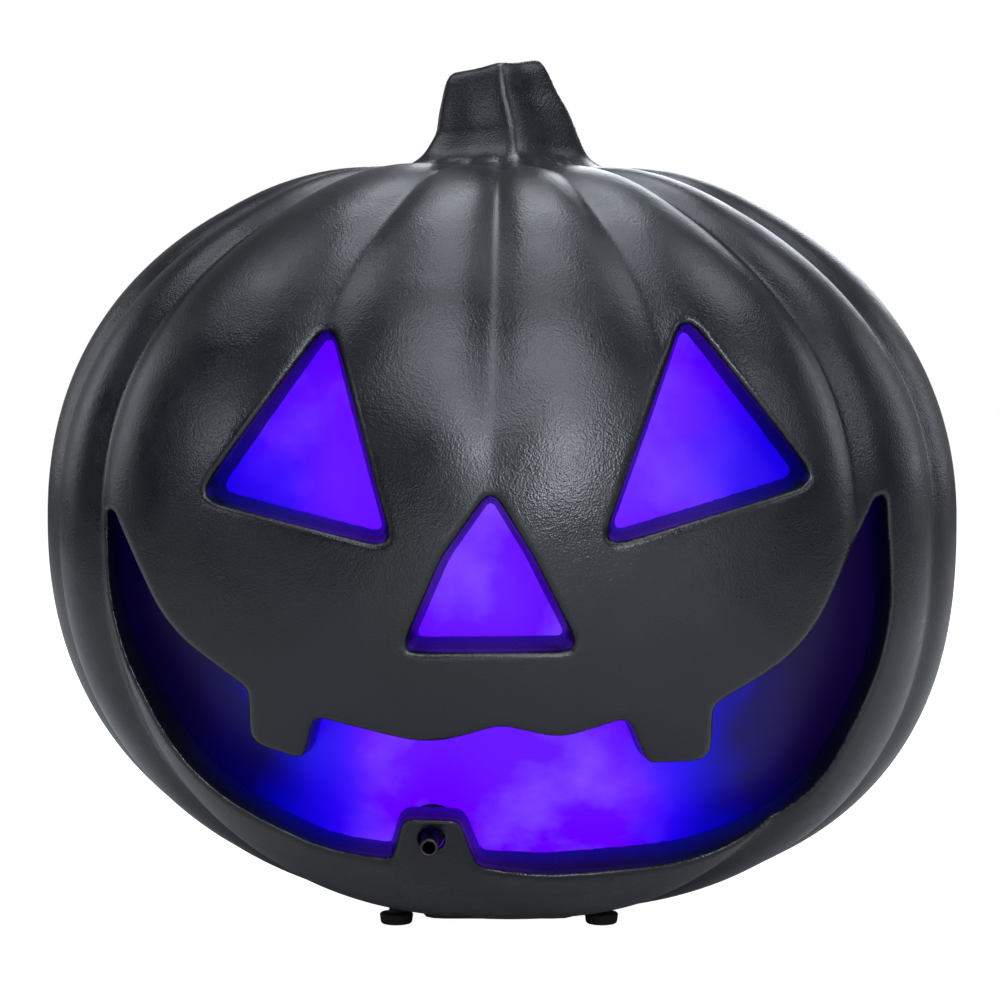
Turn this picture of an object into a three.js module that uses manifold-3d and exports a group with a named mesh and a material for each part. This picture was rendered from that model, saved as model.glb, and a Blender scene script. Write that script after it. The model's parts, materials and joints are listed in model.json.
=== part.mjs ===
// A fog machine in a jack-o'-lantern housing: two ribbed half shells round a fog generator, with a
// lit diffuser behind the cut-out face. Millimetres, +Z up, and the face looks along -Y. The pieces
// are drawn about the seam of the shells, then moved so that the origin is on the floor below the
// middle of the whole.
import * as THREE from "three";
import { mergeVertices } from "three/addons/utils/BufferGeometryUtils.js";
import Module from "manifold-3d";

const wasm = await Module();
wasm.setup();

// Driving dimensions of the housing.
const HALF_WIDTH = 132.5; // over the ribs' crests, before the neighbouring valleys take their share
const FRONT_DEPTH = 111; // from the seam to the face
const REAR_DEPTH = 103; // the same to the back, before the flat is cut
const REAR_FLAT = 87.5; // the flat that carries the controls
const EQUATOR_Z = 113.8;
const CROWN_Z = 223.8; // before the dimple round the stem
const SOLE_Z = 1.4; // before the opening for the base is cut
// Superellipse exponents (2 is an ellipse, more is squarer), and how much each grows towards +X: the
// pumpkin is a little lopsided.
const ROUNDNESS_TOP = { mean: 2.17, skew: -0.05 };
const ROUNDNESS_BOTTOM = { mean: 2.36, skew: 0.14 };
const WALL = 2.8;
const SEAM_GAP = 0.4; // between the half shells
const FIT_GAP = 0.35; // between pieces that touch

// Moulded ribs: each valley has an azimuth from the face (degrees, + is the viewer's right), a
// depth, a half width in degrees, and whether it also runs down below the equator. Towards the
// crown they sweep forward.
const VALLEYS = [
  { azimuth: -1, depth: 4.2, width: 5, full: false },
  { azimuth: 21, depth: 3, width: 6, full: false },
  { azimuth: 47.5, depth: 5, width: 5, full: true },
  { azimuth: 69.5, depth: 5, width: 5, full: true },
  { azimuth: 94, depth: 5.5, width: 5.5, full: true },
  { azimuth: 117, depth: 5.5, width: 6, full: true },
  { azimuth: 140, depth: 5, width: 6, full: true },
  { azimuth: 160, depth: 4, width: 6, full: false },
  { azimuth: 180, depth: 4, width: 6, full: false },
  { azimuth: 200, depth: 4, width: 6, full: false },
  { azimuth: 222, depth: 5, width: 6, full: true },
  { azimuth: 245, depth: 5.5, width: 6, full: true },
  { azimuth: 266, depth: 5.5, width: 5.5, full: true },
  { azimuth: 285, depth: 4.5, width: 5, full: true },
  { azimuth: 302.5, depth: 5, width: 5, full: true },
  { azimuth: 336, depth: 3, width: 6, full: false },
];
const VALLEY_SHARPNESS = 1.6;
const CROWN_SWEEP = 22;
const CROWN_DIMPLE = { depth: 12.5, radius: 41 };

// The fluted stem, as rings from the root up. The top is cut on a slant.
const STEM_RINGS = [
  { z: 200, x: 0.5, radius: 33 },
  { z: 208.5, x: 0.5, radius: 30 },
  { z: 213, x: 0.5, radius: 25.5 },
  { z: 218, x: 0.6, radius: 21.8 },
  { z: 224, x: 0.4, radius: 18.8 },
  { z: 232, x: -1.3, radius: 16.2 },
  { z: 239, x: -1.9, radius: 14 },
  { z: 242.5, x: -2.2, radius: 12 },
];
const STEM_FLUTES = { count: 5, depth: 0.11, turn: 0.175 };
const STEM_SLANT = 0.17; // rise of the cut per millimetre towards the viewer's right
const STEM_WALL = 3;

// The face. Corners are [x, z, corner radius, shift in x, shift in z], where the walls of an opening
// meet the outer surface. The shifts, if any, move the walls' inner edge.
const LEFT_EYE = [[-43, 171.5, 4], [-78, 124, 4.5, 1.2], [-26.5, 112.3, 4]];
const RIGHT_EYE = [[46.5, 172.5, 4], [24.5, 112.3, 4], [82, 128, 4.5, -1.2]];
const NOSE = [[-2.3, 128, 3.2], [-15, 110, 30], [-25.2, 86.3, 3.5], [20.2, 86.8, 3.5], [8, 111, 30]];
const MOUTH = [
  [-104.8, 121, 1.3], [-105.4, 90, 60, 2], [-82, 46.5, 60, 1.5, 1.5], [-46, 30.5, 55], [-28.3, 28.8, 2.5],
  [-25, 41.8, 3.2, 0, -1.5], [-10.6, 41.8, 3.2, 0, -1.5], [-6.2, 27.3, 4.5], [12, 24, 60, 0, 2.5],
  [52, 26, 60, 0, 3], [84, 39.5, 55, -1, 2.5], [104.2, 86, 70], [101.6, 124.4, 1.3], [98, 123.4, 1.3],
  [78.5, 85.5, 42], [53.8, 72, 4.5], [53.6, 57, 5], [37.3, 57.2, 3], [32.2, 69.6, 3.5], [15, 64.4, 18],
  [0, 68, 12], [-18, 62.6, 30], [-47.2, 69.2, 3], [-50.5, 57.3, 2.6], [-64.4, 61, 5.5],
  [-64.4, 75.5, 4.5], [-86, 90, 40], [-101.4, 119.6, 1.3],
];
const STRIDE = 22; // the longest straight stretch along an opening's edge
const RETURN_DEPTH = 22; // the walls that run in from each opening
const RETURN_WALL = 2.2;
const EYE_DRAFT = 2.4; // how far an eye's or the nose's wall leans in over its depth
const MOUTH_DRAFT = 1.5;

const DIFFUSER = { halfWidth: 113, top: 182, bottom: 22.5, squareness: 3, gap: 0.8, wall: 2 };
const NOZZLE = { x: -17.8, z: 35.4, radius: 2.35, bore: 1.6, tip: -95, disc: 3.6, discY: -76, port: 3.3, portZ: 35.9 };

// The base closes a hole between the feet. Its tray lies inside, over the shells' floor.
const BASE = { halfWidth: 21, front: -28, rear: 34, corner: 6, bottom: 3.6, top: 10.8 };
const TRAY = { halfWidth: 42, front: -30, rear: 36, thickness: 2.2 };
const TRAY_TOP = BASE.top + TRAY.thickness;
const FEET = [["front_left", -29, -16], ["front_right", 29, -16], ["rear_left", -29, 27], ["rear_right", 29, 27]];
const FOOT = { height: 3.4, radius: 4.8, lowerRadius: 4.4, pin: 2.2, boss: 5.8 };
const BASE_SCREWS = [[-31, -3], [31, -3], [-31, 12], [31, 12]];
const BASE_BOSS = { radius: 5, seat: 6.6 };
const SHELL_SCREWS = [[-107, 60], [107, 60], [-101, 170], [101, 170]];
const SHELL_BOSS = { radius: 5, depth: 14, hole: 1.7, headBore: 3.4, seat: 8, web: 2.4 };

const PANEL = { halfWidth: 44, bottom: 67, top: 121, corner: 6, wall: 2.5, ledge: 5 };
const PANEL_SCREW_INSET = 4.4;
const VENT = { count: 6, halfWidth: 30, height: 3, pitch: 6.2, bottom: 129 };
const INLET = { x: -20, z: 94, width: 30, height: 33, depth: 20, socketWidth: 24, socketHeight: 16.5, socketRise: 5.5 };
const FUSE = { radius: 2.5, length: 20, drawerWidth: 24, drawerHeight: 6.4, drawerDepth: 15, drop: 10.5 };
const SWITCH = { x: 9, z: 94, width: 17, height: 24, depth: 14, tilt: 0.2 };
const BUTTONS = [["fog_button", 30, 104], ["light_button", 30, 84]];
const BUTTON = { radius: 5.2, travel: 2, stand: 3.2 };
const LAMP = { x: 30, z: 94, radius: 2 };

const FILLER = { y: 51, floor: 185, well: 22, neck: 10, bore: 8, neckTop: 195, cap: 14.2, capHeight: 13, slack: 1.2 };
const TANK = { halfWidth: 52, front: 26, rear: 61, bottom: 84, top: 178, wall: 1.8 };
const HEATER = { x: NOZZLE.x, z: NOZZLE.z, width: 32, height: 28, front: -42, rear: 28 };
const PUMP = { x: 22, z: 33, width: 30, height: 32, front: -12, rear: 28, bore: 5.2 };
const CHASSIS = { halfWidth: 42, front: -20, rear: 22, top: 62, sheet: 1.6, post: 3.6, legFront: -7, legRear: 4.5 };

// Materials, one for each kind of finish.
const finish = (color, roughness, metalness = 0) => new THREE.MeshStandardMaterial({ color, roughness, metalness });
const BLACK_SHELL = finish(0x17181b, 0.42);
const BLACK_PLASTIC = finish(0x111214, 0.6);
const RUBBER = finish(0x0c0c0d, 0.85);
const DIFFUSER_PLASTIC = finish(0x5a1cff, 0.5);
const TANK_PLASTIC = finish(0xd8dcd6, 0.35);
const STEEL = finish(0xb4b8bc, 0.35, 1);
const BRASS = finish(0x3c342a, 0.4, 1);
const ALUMINIUM = finish(0xa8abae, 0.45, 1);
const FIBRE = finish(0xd9d2bd, 0.95);
const BOARD = finish(0x14532d, 0.55);
const CLEAR = finish(0xc9d6ff, 0.15);
const RED = finish(0xb3201a, 0.4);
const HOSE = finish(0xcfd6dc, 0.3);
const COPPER_COIL = finish(0x9a5b2c, 0.4, 1);

const degrees = THREE.MathUtils.degToRad;

// ---- solids -------------------------------------------------------------------------------------

function solidOf(geometry) {
  const bare = new THREE.BufferGeometry().setAttribute("position", geometry.getAttribute("position").clone());
  if (geometry.index) bare.setIndex(geometry.index.clone());
  const merged = mergeVertices(bare, 1e-4);
  return new wasm.Manifold(
    new wasm.Mesh({
      numProp: 3,
      vertProperties: merged.getAttribute("position").array,
      triVerts: new Uint32Array(merged.index.array),
    }),
  );
}

function geometryOf(solid) {
  const mesh = solid.getMesh();
  return new THREE.BufferGeometry()
    .setAttribute("position", new THREE.BufferAttribute(mesh.vertProperties, 3))
    .setIndex(new THREE.BufferAttribute(mesh.triVerts, 1));
}

const join = (first, ...rest) => geometryOf(rest.reduce((sum, g) => sum.add(solidOf(g)), solidOf(first)));
const cut = (first, ...rest) => geometryOf(rest.reduce((sum, g) => sum.subtract(solidOf(g)), solidOf(first)));
const common = (first, ...rest) => geometryOf(rest.reduce((sum, g) => sum.intersect(solidOf(g)), solidOf(first)));

// A box from its lowest and highest corners.
function box(low, high) {
  const size = high.map((value, axis) => value - low[axis]);
  const middle = high.map((value, axis) => (value + low[axis]) / 2);
  return new THREE.BoxGeometry(...size).translate(...middle);
}

// Cylinders between two stations of an axis. The radius may change along it.
function upright(x, y, bottom, top, radius, topRadius = radius, sides = 24) {
  return new THREE.CylinderGeometry(topRadius, radius, top - bottom, sides)
    .rotateX(Math.PI / 2)
    .translate(x, y, (top + bottom) / 2);
}

function lengthwise(x, z, front, rear, radius, rearRadius = radius, sides = 20) {
  return new THREE.CylinderGeometry(rearRadius, radius, rear - front, sides).translate(x, (front + rear) / 2, z);
}

// A ring-shaped grid of points, closed at both ends by a pole, as one closed surface.
function skin(rings, bottomPole, topPole) {
  const sides = rings[0].length;
  const points = [bottomPole, ...rings.flat(), topPole];
  const faces = [];
  const at = (ring, side) => 1 + ring * sides + (side % sides);
  for (let side = 0; side < sides; side += 1) {
    faces.push(0, at(0, side + 1), at(0, side));
    faces.push(points.length - 1, at(rings.length - 1, side), at(rings.length - 1, side + 1));
  }
  for (let ring = 0; ring < rings.length - 1; ring += 1) {
    for (let side = 0; side < sides; side += 1) {
      faces.push(at(ring, side), at(ring, side + 1), at(ring + 1, side + 1));
      faces.push(at(ring, side), at(ring + 1, side + 1), at(ring + 1, side));
    }
  }
  return new THREE.BufferGeometry().setFromPoints(points).setIndex(faces);
}

// ---- outlines -----------------------------------------------------------------------------------

// Rounds the corners of a polygon after moving its sides outwards by grow. Long straight stretches
// get points on the way, so that they can follow a curved surface. inward is the share of each
// corner's shift that applies.
function rounded(corners, grow = 0, stride = Infinity, inward = 0) {
  const plain = corners.map(([x, z]) => new THREE.Vector2(x, z));
  const points = corners.map(([x, z, , dx = 0, dz = 0]) => new THREE.Vector2(x + dx * inward, z + dz * inward));
  const turn = Math.sign(THREE.ShapeUtils.area(plain));
  const around = (list, i) => [list.at(i - 1), list[i], list[(i + 1) % list.length]];
  const bendOf = ([before, corner, after]) => {
    const arriving = corner.clone().sub(before).normalize();
    const leaving = after.clone().sub(corner).normalize();
    return { arriving, leaving, half: Math.acos(THREE.MathUtils.clamp(arriving.dot(leaving), -1, 1)) / 2 };
  };
  const arcs = points.map((corner, i) => {
    const [before, , after] = around(points, i);
    const { arriving, leaving, half } = bendOf([before, corner, after]);
    const side = (way) => new THREE.Vector2(way.y, -way.x).multiplyScalar(turn);
    const mitre = side(arriving).add(side(leaving)).normalize();
    const tip = corner.clone().addScaledVector(mitre, grow / mitre.dot(side(arriving)));
    const radius = Math.max(corners[i][2] + grow * Math.sign(arriving.cross(leaving)) * turn, 0.4);
    const room = 0.49 * Math.min(corner.distanceTo(before), corner.distanceTo(after));
    const reach = Math.min(radius * Math.tan(half), room);
    const curve = new THREE.QuadraticBezierCurve(
      tip.clone().addScaledVector(arriving, -reach),
      tip,
      tip.clone().addScaledVector(leaving, reach),
    );
    return curve.getPoints(bendOf(around(plain, i)).half < 0.35 ? 2 : 3);
  });
  const outline = arcs.flatMap((arc, i) => {
    const parts = Math.ceil(plain[i].distanceTo(plain.at(i - 1)) / stride);
    const [from, to] = [arcs.at(i - 1).at(-1), arc[0]];
    const between = Array.from({ length: Math.max(parts - 1, 0) }, (_, k) => from.clone().lerp(to, (k + 1) / parts));
    return [...between, ...arc];
  });
  return turn > 0 ? outline : outline.reverse();
}

// A flat prism from an outline in X and Z, between two stations of Y.
function slab(outline, front, rear) {
  return new THREE.ExtrudeGeometry(new THREE.Shape(outline), { depth: rear - front, bevelEnabled: false })
    .rotateX(Math.PI / 2)
    .translate(0, rear, 0);
}

// The same from an outline in X and Y, between two heights.
function plate(outline, bottom, top) {
  return new THREE.ExtrudeGeometry(new THREE.Shape(outline), { depth: top - bottom, bevelEnabled: false })
    .translate(0, 0, bottom);
}

function rectangle(left, low, right, high, corner, grow = 0) {
  return rounded([[left, low, corner], [right, low, corner], [right, high, corner], [left, high, corner]], grow);
}

// ---- the housing's surface ----------------------------------------------------------------------

function valleyDepth(azimuth, height) {
  const swept = azimuth + CROWN_SWEEP * Math.sin(degrees(azimuth)) * Math.max(0, height) ** 3;
  return VALLEYS.reduce((sum, valley) => {
    const away = Math.abs(THREE.MathUtils.euclideanModulo(swept - valley.azimuth + 180, 360) - 180);
    const fade = valley.full ? 1 : THREE.MathUtils.smoothstep(height, -0.05, 0.55);
    return sum + (valley.depth * fade) / (1 + (away / valley.width) ** VALLEY_SHARPNESS);
  }, 0);
}

// The exponent of the profile above or below the equator. across is -1 at the left and 1 at the right.
function roundness(top, across) {
  const { mean, skew } = top ? ROUNDNESS_TOP : ROUNDNESS_BOTTOM;
  return mean + skew * across;
}

// A point of the housing at an azimuth and a latitude in degrees, inset from the outer surface.
function housingPoint(azimuth, latitude, inset, ribs) {
  const top = latitude > 0;
  const power = 2 / roundness(top, Math.sin(degrees(azimuth)));
  const reach = Math.cos(degrees(latitude)) ** power;
  const rise = Math.sign(latitude) * Math.abs(Math.sin(degrees(latitude))) ** power;
  const across = Math.sin(degrees(azimuth));
  const along = -Math.cos(degrees(azimuth));
  const depth = along < 0 ? FRONT_DEPTH : REAR_DEPTH;
  const tall = top ? CROWN_Z - EQUATOR_Z : EQUATOR_Z - SOLE_Z;
  const valley = ribs ? valleyDepth(azimuth, rise) * Math.min(1, reach * 1.6) : 0;
  const sink = inset + valley;
  const normal = new THREE.Vector3(
    (across * reach) / HALF_WIDTH,
    (along * reach) / depth,
    (Math.sign(rise) * Math.abs(rise) ** 1.4) / tall,
  ).normalize();
  const point = new THREE.Vector3(across * reach * HALF_WIDTH, along * reach * depth, EQUATOR_Z + rise * tall);
  if (top) point.z -= CROWN_DIMPLE.depth * Math.exp(-((Math.hypot(point.x, point.y) / CROWN_DIMPLE.radius) ** 2));
  return point.addScaledVector(normal, -sink);
}

function housing(inset, sides, rows, ribs = true) {
  const rings = [];
  for (let row = 1; row < rows; row += 1) {
    const latitude = -90 + (180 * row) / rows;
    rings.push(Array.from({ length: sides }, (_, side) => housingPoint((360 * side) / sides, latitude, inset, ribs)));
  }
  return skin(rings, housingPoint(0, -90, inset, ribs), housingPoint(0, 90, inset, ribs));
}

// The stem as a lofted, fluted shape, narrowed by inset for its hollow.
function stem(inset) {
  const sides = 30;
  const rings = STEM_RINGS.map(({ z, x, radius }, level) =>
    Array.from({ length: sides }, (_, side) => {
      const angle = (2 * Math.PI * side) / sides;
      const hollow = Math.abs(Math.sin((STEM_FLUTES.count / 2) * (angle + STEM_FLUTES.turn)));
      const flute = 1 + STEM_FLUTES.depth * (1 - 2 * hollow);
      const reach = radius * (level < 2 ? 1 : flute) - inset;
      const across = reach * Math.cos(angle);
      const slant = level > 4 ? STEM_SLANT * across : 0;
      return new THREE.Vector3(x + across, reach * Math.sin(angle), z + slant - inset);
    }),
  );
  const { x, z } = STEM_RINGS.at(-1);
  const root = STEM_RINGS[0];
  return skin(rings, new THREE.Vector3(root.x, 0, root.z - inset), new THREE.Vector3(x, 0, z - inset));
}

// ---- openings of the face -----------------------------------------------------------------------

// Where the smooth face lies at x and z, as a value of Y.
function faceY(x, z) {
  const top = z > EQUATOR_Z;
  const share = Math.min(1, Math.abs(z - EQUATOR_Z) / (top ? CROWN_Z - EQUATOR_Z : EQUATOR_Z - SOLE_Z));
  const reachFor = (power) => (1 - share ** power) ** (1 / power);
  const across = THREE.MathUtils.clamp(x / HALF_WIDTH / reachFor(roundness(top, 0)), -1, 1);
  return -FRONT_DEPTH * Math.sqrt(Math.max(0, reachFor(roundness(top, across)) ** 2 - (x / HALF_WIDTH) ** 2));
}

// An opening's outline, grown sideways, at a depth behind the face.
function openingRing({ corners, draft }, depth, grow) {
  const share = depth / RETURN_DEPTH;
  return rounded(corners, grow - draft * share, STRIDE, share).map(
    ({ x, y: z }) => new THREE.Vector3(x, faceY(x, z) + depth, z),
  );
}

// The solid inside an opening, from well in front of the face to well behind its walls.
function openingPlug(opening, grow) {
  const outline = rounded(opening.corners, grow, STRIDE);
  const sides = outline.length;
  const caps = THREE.ShapeUtils.triangulateShape(outline, []);
  const faces = caps.flatMap(([a, b, c]) => [a, b, c, sides + a, sides + c, sides + b]);
  for (let side = 0; side < sides; side += 1) {
    const next = (side + 1) % sides;
    faces.push(side, side + sides, next + sides);
    faces.push(side, next + sides, next);
  }
  const points = [...openingRing(opening, -30, grow), ...openingRing(opening, 30, grow)];
  return new THREE.BufferGeometry().setFromPoints(points).setIndex(faces);
}

// The wall that runs in from an opening's edge: a closed band that starts in front of the face.
function openingWall(opening) {
  const loops = [
    openingRing(opening, -12, RETURN_WALL),
    openingRing(opening, RETURN_DEPTH, RETURN_WALL),
    openingRing(opening, RETURN_DEPTH, 0),
    openingRing(opening, -12, 0),
  ];
  const sides = loops[0].length;
  const faces = [];
  loops.forEach((_, loop) => {
    const here = loop * sides;
    const there = ((loop + 1) % loops.length) * sides;
    for (let side = 0; side < sides; side += 1) {
      const next = (side + 1) % sides;
      faces.push(here + side, there + side, there + next);
      faces.push(here + side, there + next, here + next);
    }
  });
  return new THREE.BufferGeometry().setFromPoints(loops.flat()).setIndex(faces);
}

const OPENINGS = [
  { corners: LEFT_EYE, draft: EYE_DRAFT },
  { corners: RIGHT_EYE, draft: EYE_DRAFT },
  { corners: NOSE, draft: EYE_DRAFT },
  { corners: MOUTH, draft: MOUTH_DRAFT },
];

// ---- shells -------------------------------------------------------------------------------------

const FAR = 300;
const outside = join(housing(0, 72, 20), stem(0));
const lining = join(housing(WALL, 72, 20), stem(STEM_WALL));
const clearance = housing(WALL + 2, 36, 12);
const frontHalf = box([-FAR, -FAR, -FAR], [FAR, -SEAM_GAP / 2, FAR]);
const rearHalf = box([-FAR, SEAM_GAP / 2, -FAR], [FAR, REAR_FLAT, FAR]);
const rearLining = common(lining, box([-FAR, -FAR, -FAR], [FAR, REAR_FLAT - WALL, FAR]));

function baseOutline(grow) {
  return rectangle(-BASE.halfWidth, BASE.front, BASE.halfWidth, BASE.rear, BASE.corner, grow);
}

// What the shells' floor carries round the feet's pins and the base screws, and what is cut there.
function floorBosses() {
  return [
    ...FEET.map(([, x, y]) => upright(x, y, FOOT.height, FOOT.height + 6, FOOT.boss, undefined, 16)),
    ...BASE_SCREWS.map(([x, y]) => upright(x, y, 2, BASE.top - FIT_GAP, BASE_BOSS.radius, undefined, 14)),
  ];
}

function floorHoles() {
  return [
    plate(baseOutline(FIT_GAP), -5, 20),
    ...FEET.map(([, x, y]) => upright(x, y, -5, FOOT.height, FOOT.boss + 0.1, undefined, 16)),
    ...FEET.map(([, x, y]) => upright(x, y, -5, FOOT.height + 4, FOOT.pin + FIT_GAP, undefined, 10)),
    ...BASE_SCREWS.map(([x, y]) => upright(x, y, -5, BASE_BOSS.seat, 3.3, undefined, 12)),
    ...BASE_SCREWS.map(([x, y]) => upright(x, y, -5, 20, 1.8, undefined, 8)),
  ];
}

// The screw bosses at the seam, each tied to the side wall by a web.
function seamBosses(front, rear) {
  const { radius, web } = SHELL_BOSS;
  return SHELL_SCREWS.flatMap(([x, z]) => [
    lengthwise(x, z, front, rear, radius, undefined, 14),
    box([Math.min(x, x * 1.3), front, z - web / 2], [Math.max(x, x * 1.3), Math.min(rear, 14), z + web / 2]),
  ]);
}

function frontShell() {
  const bosses = seamBosses(-SHELL_BOSS.depth, 1);
  const pilots = SHELL_SCREWS.map(([x, z]) => lengthwise(x, z, 2 - SHELL_BOSS.depth, 2, SHELL_BOSS.hole, undefined, 10));
  const openings = OPENINGS.map((opening) => openingPlug(opening, RETURN_WALL / 2));
  const walls = OPENINGS.map(openingWall);
  const port = lengthwise(NOZZLE.x, NOZZLE.portZ, -130, -60, NOZZLE.port);
  const around = join(cut(frontHalf, lining, ...openings), ...walls, ...bosses);
  const closed = common(join(common(around, outside), ...floorBosses()), frontHalf);
  return cut(closed, ...pilots, port, ...floorHoles());
}

function rearShell() {
  const bosses = seamBosses(0, 60);
  const well = upright(0, FILLER.y, FILLER.floor - WALL, FAR, FILLER.well + WALL);
  const ledge = slab(panelOutline(3), REAR_FLAT - WALL - PANEL.wall - 1, REAR_FLAT);
  const holes = SHELL_SCREWS.flatMap(([x, z]) => [
    lengthwise(x, z, -1, 60, SHELL_BOSS.hole, undefined, 10),
    lengthwise(x, z, SHELL_BOSS.seat, 120, SHELL_BOSS.headBore, undefined, 14),
  ]);
  const vents = Array.from({ length: VENT.count }, (_, i) => {
    const low = VENT.bottom + i * VENT.pitch;
    const outline = rectangle(-VENT.halfWidth, low, VENT.halfWidth, low + VENT.height, VENT.height / 2.1);
    return slab(outline, REAR_FLAT - 8, REAR_FLAT + 5);
  });
  const around = join(cut(rearHalf, rearLining), ...bosses, well, ledge);
  const closed = common(join(common(around, outside), ...floorBosses()), rearHalf);
  return cut(
    closed,
    ...holes,
    ...vents,
    upright(0, FILLER.y, FILLER.floor, FAR, FILLER.well),
    upright(0, FILLER.y, FILLER.floor - 20, FILLER.floor + 5, FILLER.neck + 0.6),
    slab(panelOutline(FIT_GAP), REAR_FLAT - PANEL.wall - FIT_GAP, REAR_FLAT + 5),
    slab(panelOutline(-PANEL.ledge), REAR_FLAT - 20, REAR_FLAT + 5),
    ...panelCorners().map(([x, z]) => lengthwise(x, z, REAR_FLAT - 20, REAR_FLAT, 1.3, undefined, 8)),
    ...floorHoles(),
  );
}

// ---- light and face -----------------------------------------------------------------------------

// A curved sheet that lies just behind the openings' walls.
function diffuser() {
  const { halfWidth, top, bottom, squareness, gap, wall } = DIFFUSER;
  const sides = 40;
  const bulge = (value) => Math.sign(value) * Math.abs(value) ** (2 / squareness);
  const sheetPoint = (angle, share, depth) => {
    const x = halfWidth * share * bulge(Math.cos(angle));
    const up = bulge(Math.sin(angle)) * share;
    const z = EQUATOR_Z + up * (up > 0 ? top - EQUATOR_Z : EQUATOR_Z - bottom);
    return new THREE.Vector3(x, faceY(x, z) + depth, z);
  };
  const face = (depth) =>
    [0.25, 0.5, 0.75, 1].map((share) =>
      Array.from({ length: sides }, (_, side) => sheetPoint((-2 * Math.PI * side) / sides, share, depth)),
    );
  const near = RETURN_DEPTH + gap;
  const far = near + wall;
  const sheet = skin([...face(near), ...face(far).reverse()], sheetPoint(0, 0, near), sheetPoint(0, 0, far));
  return cut(sheet, lengthwise(NOZZLE.x, NOZZLE.z, -90, 0, 7));
}

// ---- base ---------------------------------------------------------------------------------------

function basePlate() {
  const { halfWidth, front, rear, thickness } = TRAY;
  const tray = plate(rectangle(-halfWidth, front, halfWidth, rear, BASE.corner), BASE.top, BASE.top + thickness);
  const screws = BASE_SCREWS.map(([x, y]) => upright(x, y, 0, 20, 1.7, 1.7, 8));
  return cut(join(plate(baseOutline(0), BASE.bottom, BASE.top + 1), common(tray, clearance)), ...screws);
}

function foot(x, y) {
  const pad = upright(x, y, 0, FOOT.height - FIT_GAP, FOOT.lowerRadius, FOOT.radius, 20);
  return join(pad, upright(x, y, FOOT.height - 1, FOOT.height + 3.6, FOOT.pin, FOOT.pin, 10));
}

// A slotted pan-head screw along +Z, from its head's outer face.
function screw(length, headRadius = 2.9, shank = 1.4) {
  const body = join(
    upright(0, 0, 0, 2, headRadius * 0.86, headRadius, 12),
    upright(0, 0, 1.6, length, shank, shank * 0.9, 6),
  );
  return cut(body, box([-4, -0.4, -1], [4, 0.4, 0.8]));
}

// ---- rear controls ------------------------------------------------------------------------------

function panelOutline(grow) {
  return rectangle(-PANEL.halfWidth, PANEL.bottom, PANEL.halfWidth, PANEL.top, PANEL.corner, grow);
}

function panelCorners() {
  const heights = [PANEL.bottom + PANEL_SCREW_INSET, PANEL.top - PANEL_SCREW_INSET];
  const across = PANEL.halfWidth - PANEL_SCREW_INSET;
  return heights.flatMap((z) => [-across, across].map((x) => [x, z]));
}

function panelHole({ x, z, width, height }, grow) {
  return slab(
    rectangle(x - width / 2, z - height / 2, x + width / 2, z + height / 2, 1.5, grow),
    REAR_FLAT - 10,
    REAR_FLAT + 5,
  );
}

function controlPanel() {
  return cut(
    slab(panelOutline(0), REAR_FLAT - PANEL.wall, REAR_FLAT),
    panelHole(INLET, FIT_GAP),
    panelHole(SWITCH, FIT_GAP),
    ...BUTTONS.map(([, x, z]) => lengthwise(x, z, 60, 120, BUTTON.radius + FIT_GAP)),
    lengthwise(LAMP.x, LAMP.z, 60, 120, LAMP.radius + FIT_GAP, undefined, 12),
    ...panelCorners().map(([x, z]) => lengthwise(x, z, 60, 120, 1.7, undefined, 8)),
  );
}

// A three-pin mains socket over a fuse drawer. It is fitted from outside, with its lip on the panel.
function mainsInlet() {
  const { x, z, width, height, depth, socketWidth, socketHeight, socketRise } = INLET;
  const lip = rectangle(x - width / 2, z - height / 2, x + width / 2, z + height / 2, 2, 2.5);
  const block = rectangle(x - width / 2, z - height / 2, x + width / 2, z + height / 2, 1.5);
  const left = x - socketWidth / 2;
  const right = x + socketWidth / 2;
  const low = z + socketRise - socketHeight / 2;
  const high = z + socketRise + socketHeight / 2;
  const chamfer = 4.5;
  const socket = rounded([
    [left, low, 1.5], [right, low, 1.5], [right, high - chamfer, 1],
    [right - chamfer, high, 1], [left + chamfer, high, 1], [left, high - chamfer, 1],
  ]);
  const body = join(
    slab(lip, REAR_FLAT + FIT_GAP, REAR_FLAT + 2.2),
    slab(block, REAR_FLAT - depth, REAR_FLAT + 1),
  );
  const pinHoles = inletPins().map(([, px, pz]) => inletPin(px, pz, FIT_GAP));
  return cut(body, slab(socket, REAR_FLAT - depth + 3.5, REAR_FLAT + 10), ...pinHoles, fuseBlock(FIT_GAP, 5));
}

function inletPins() {
  const middle = INLET.z + INLET.socketRise;
  return [
    ["inlet_pin_live", INLET.x - 7, middle - 2],
    ["inlet_pin_neutral", INLET.x + 7, middle - 2],
    ["inlet_pin_earth", INLET.x, middle + 2],
  ];
}

function inletPin(x, z, grow = 0) {
  const ends = [REAR_FLAT - INLET.depth - 6, REAR_FLAT - 6];
  return box([x - 1 - grow, ends[0], z - 2 - grow], [x + 1 + grow, ends[1], z + 2 + grow]);
}

// The drawer's outer block, also used a little larger to cut its slot.
function fuseBlock(grow, stand) {
  const { drawerWidth, drawerHeight, drawerDepth, drop } = FUSE;
  const z = INLET.z - drop;
  return box(
    [INLET.x - drawerWidth / 2 - grow, REAR_FLAT - drawerDepth - grow, z - drawerHeight / 2 - grow],
    [INLET.x + drawerWidth / 2 + grow, REAR_FLAT + stand, z + drawerHeight / 2 + grow],
  );
}

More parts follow.
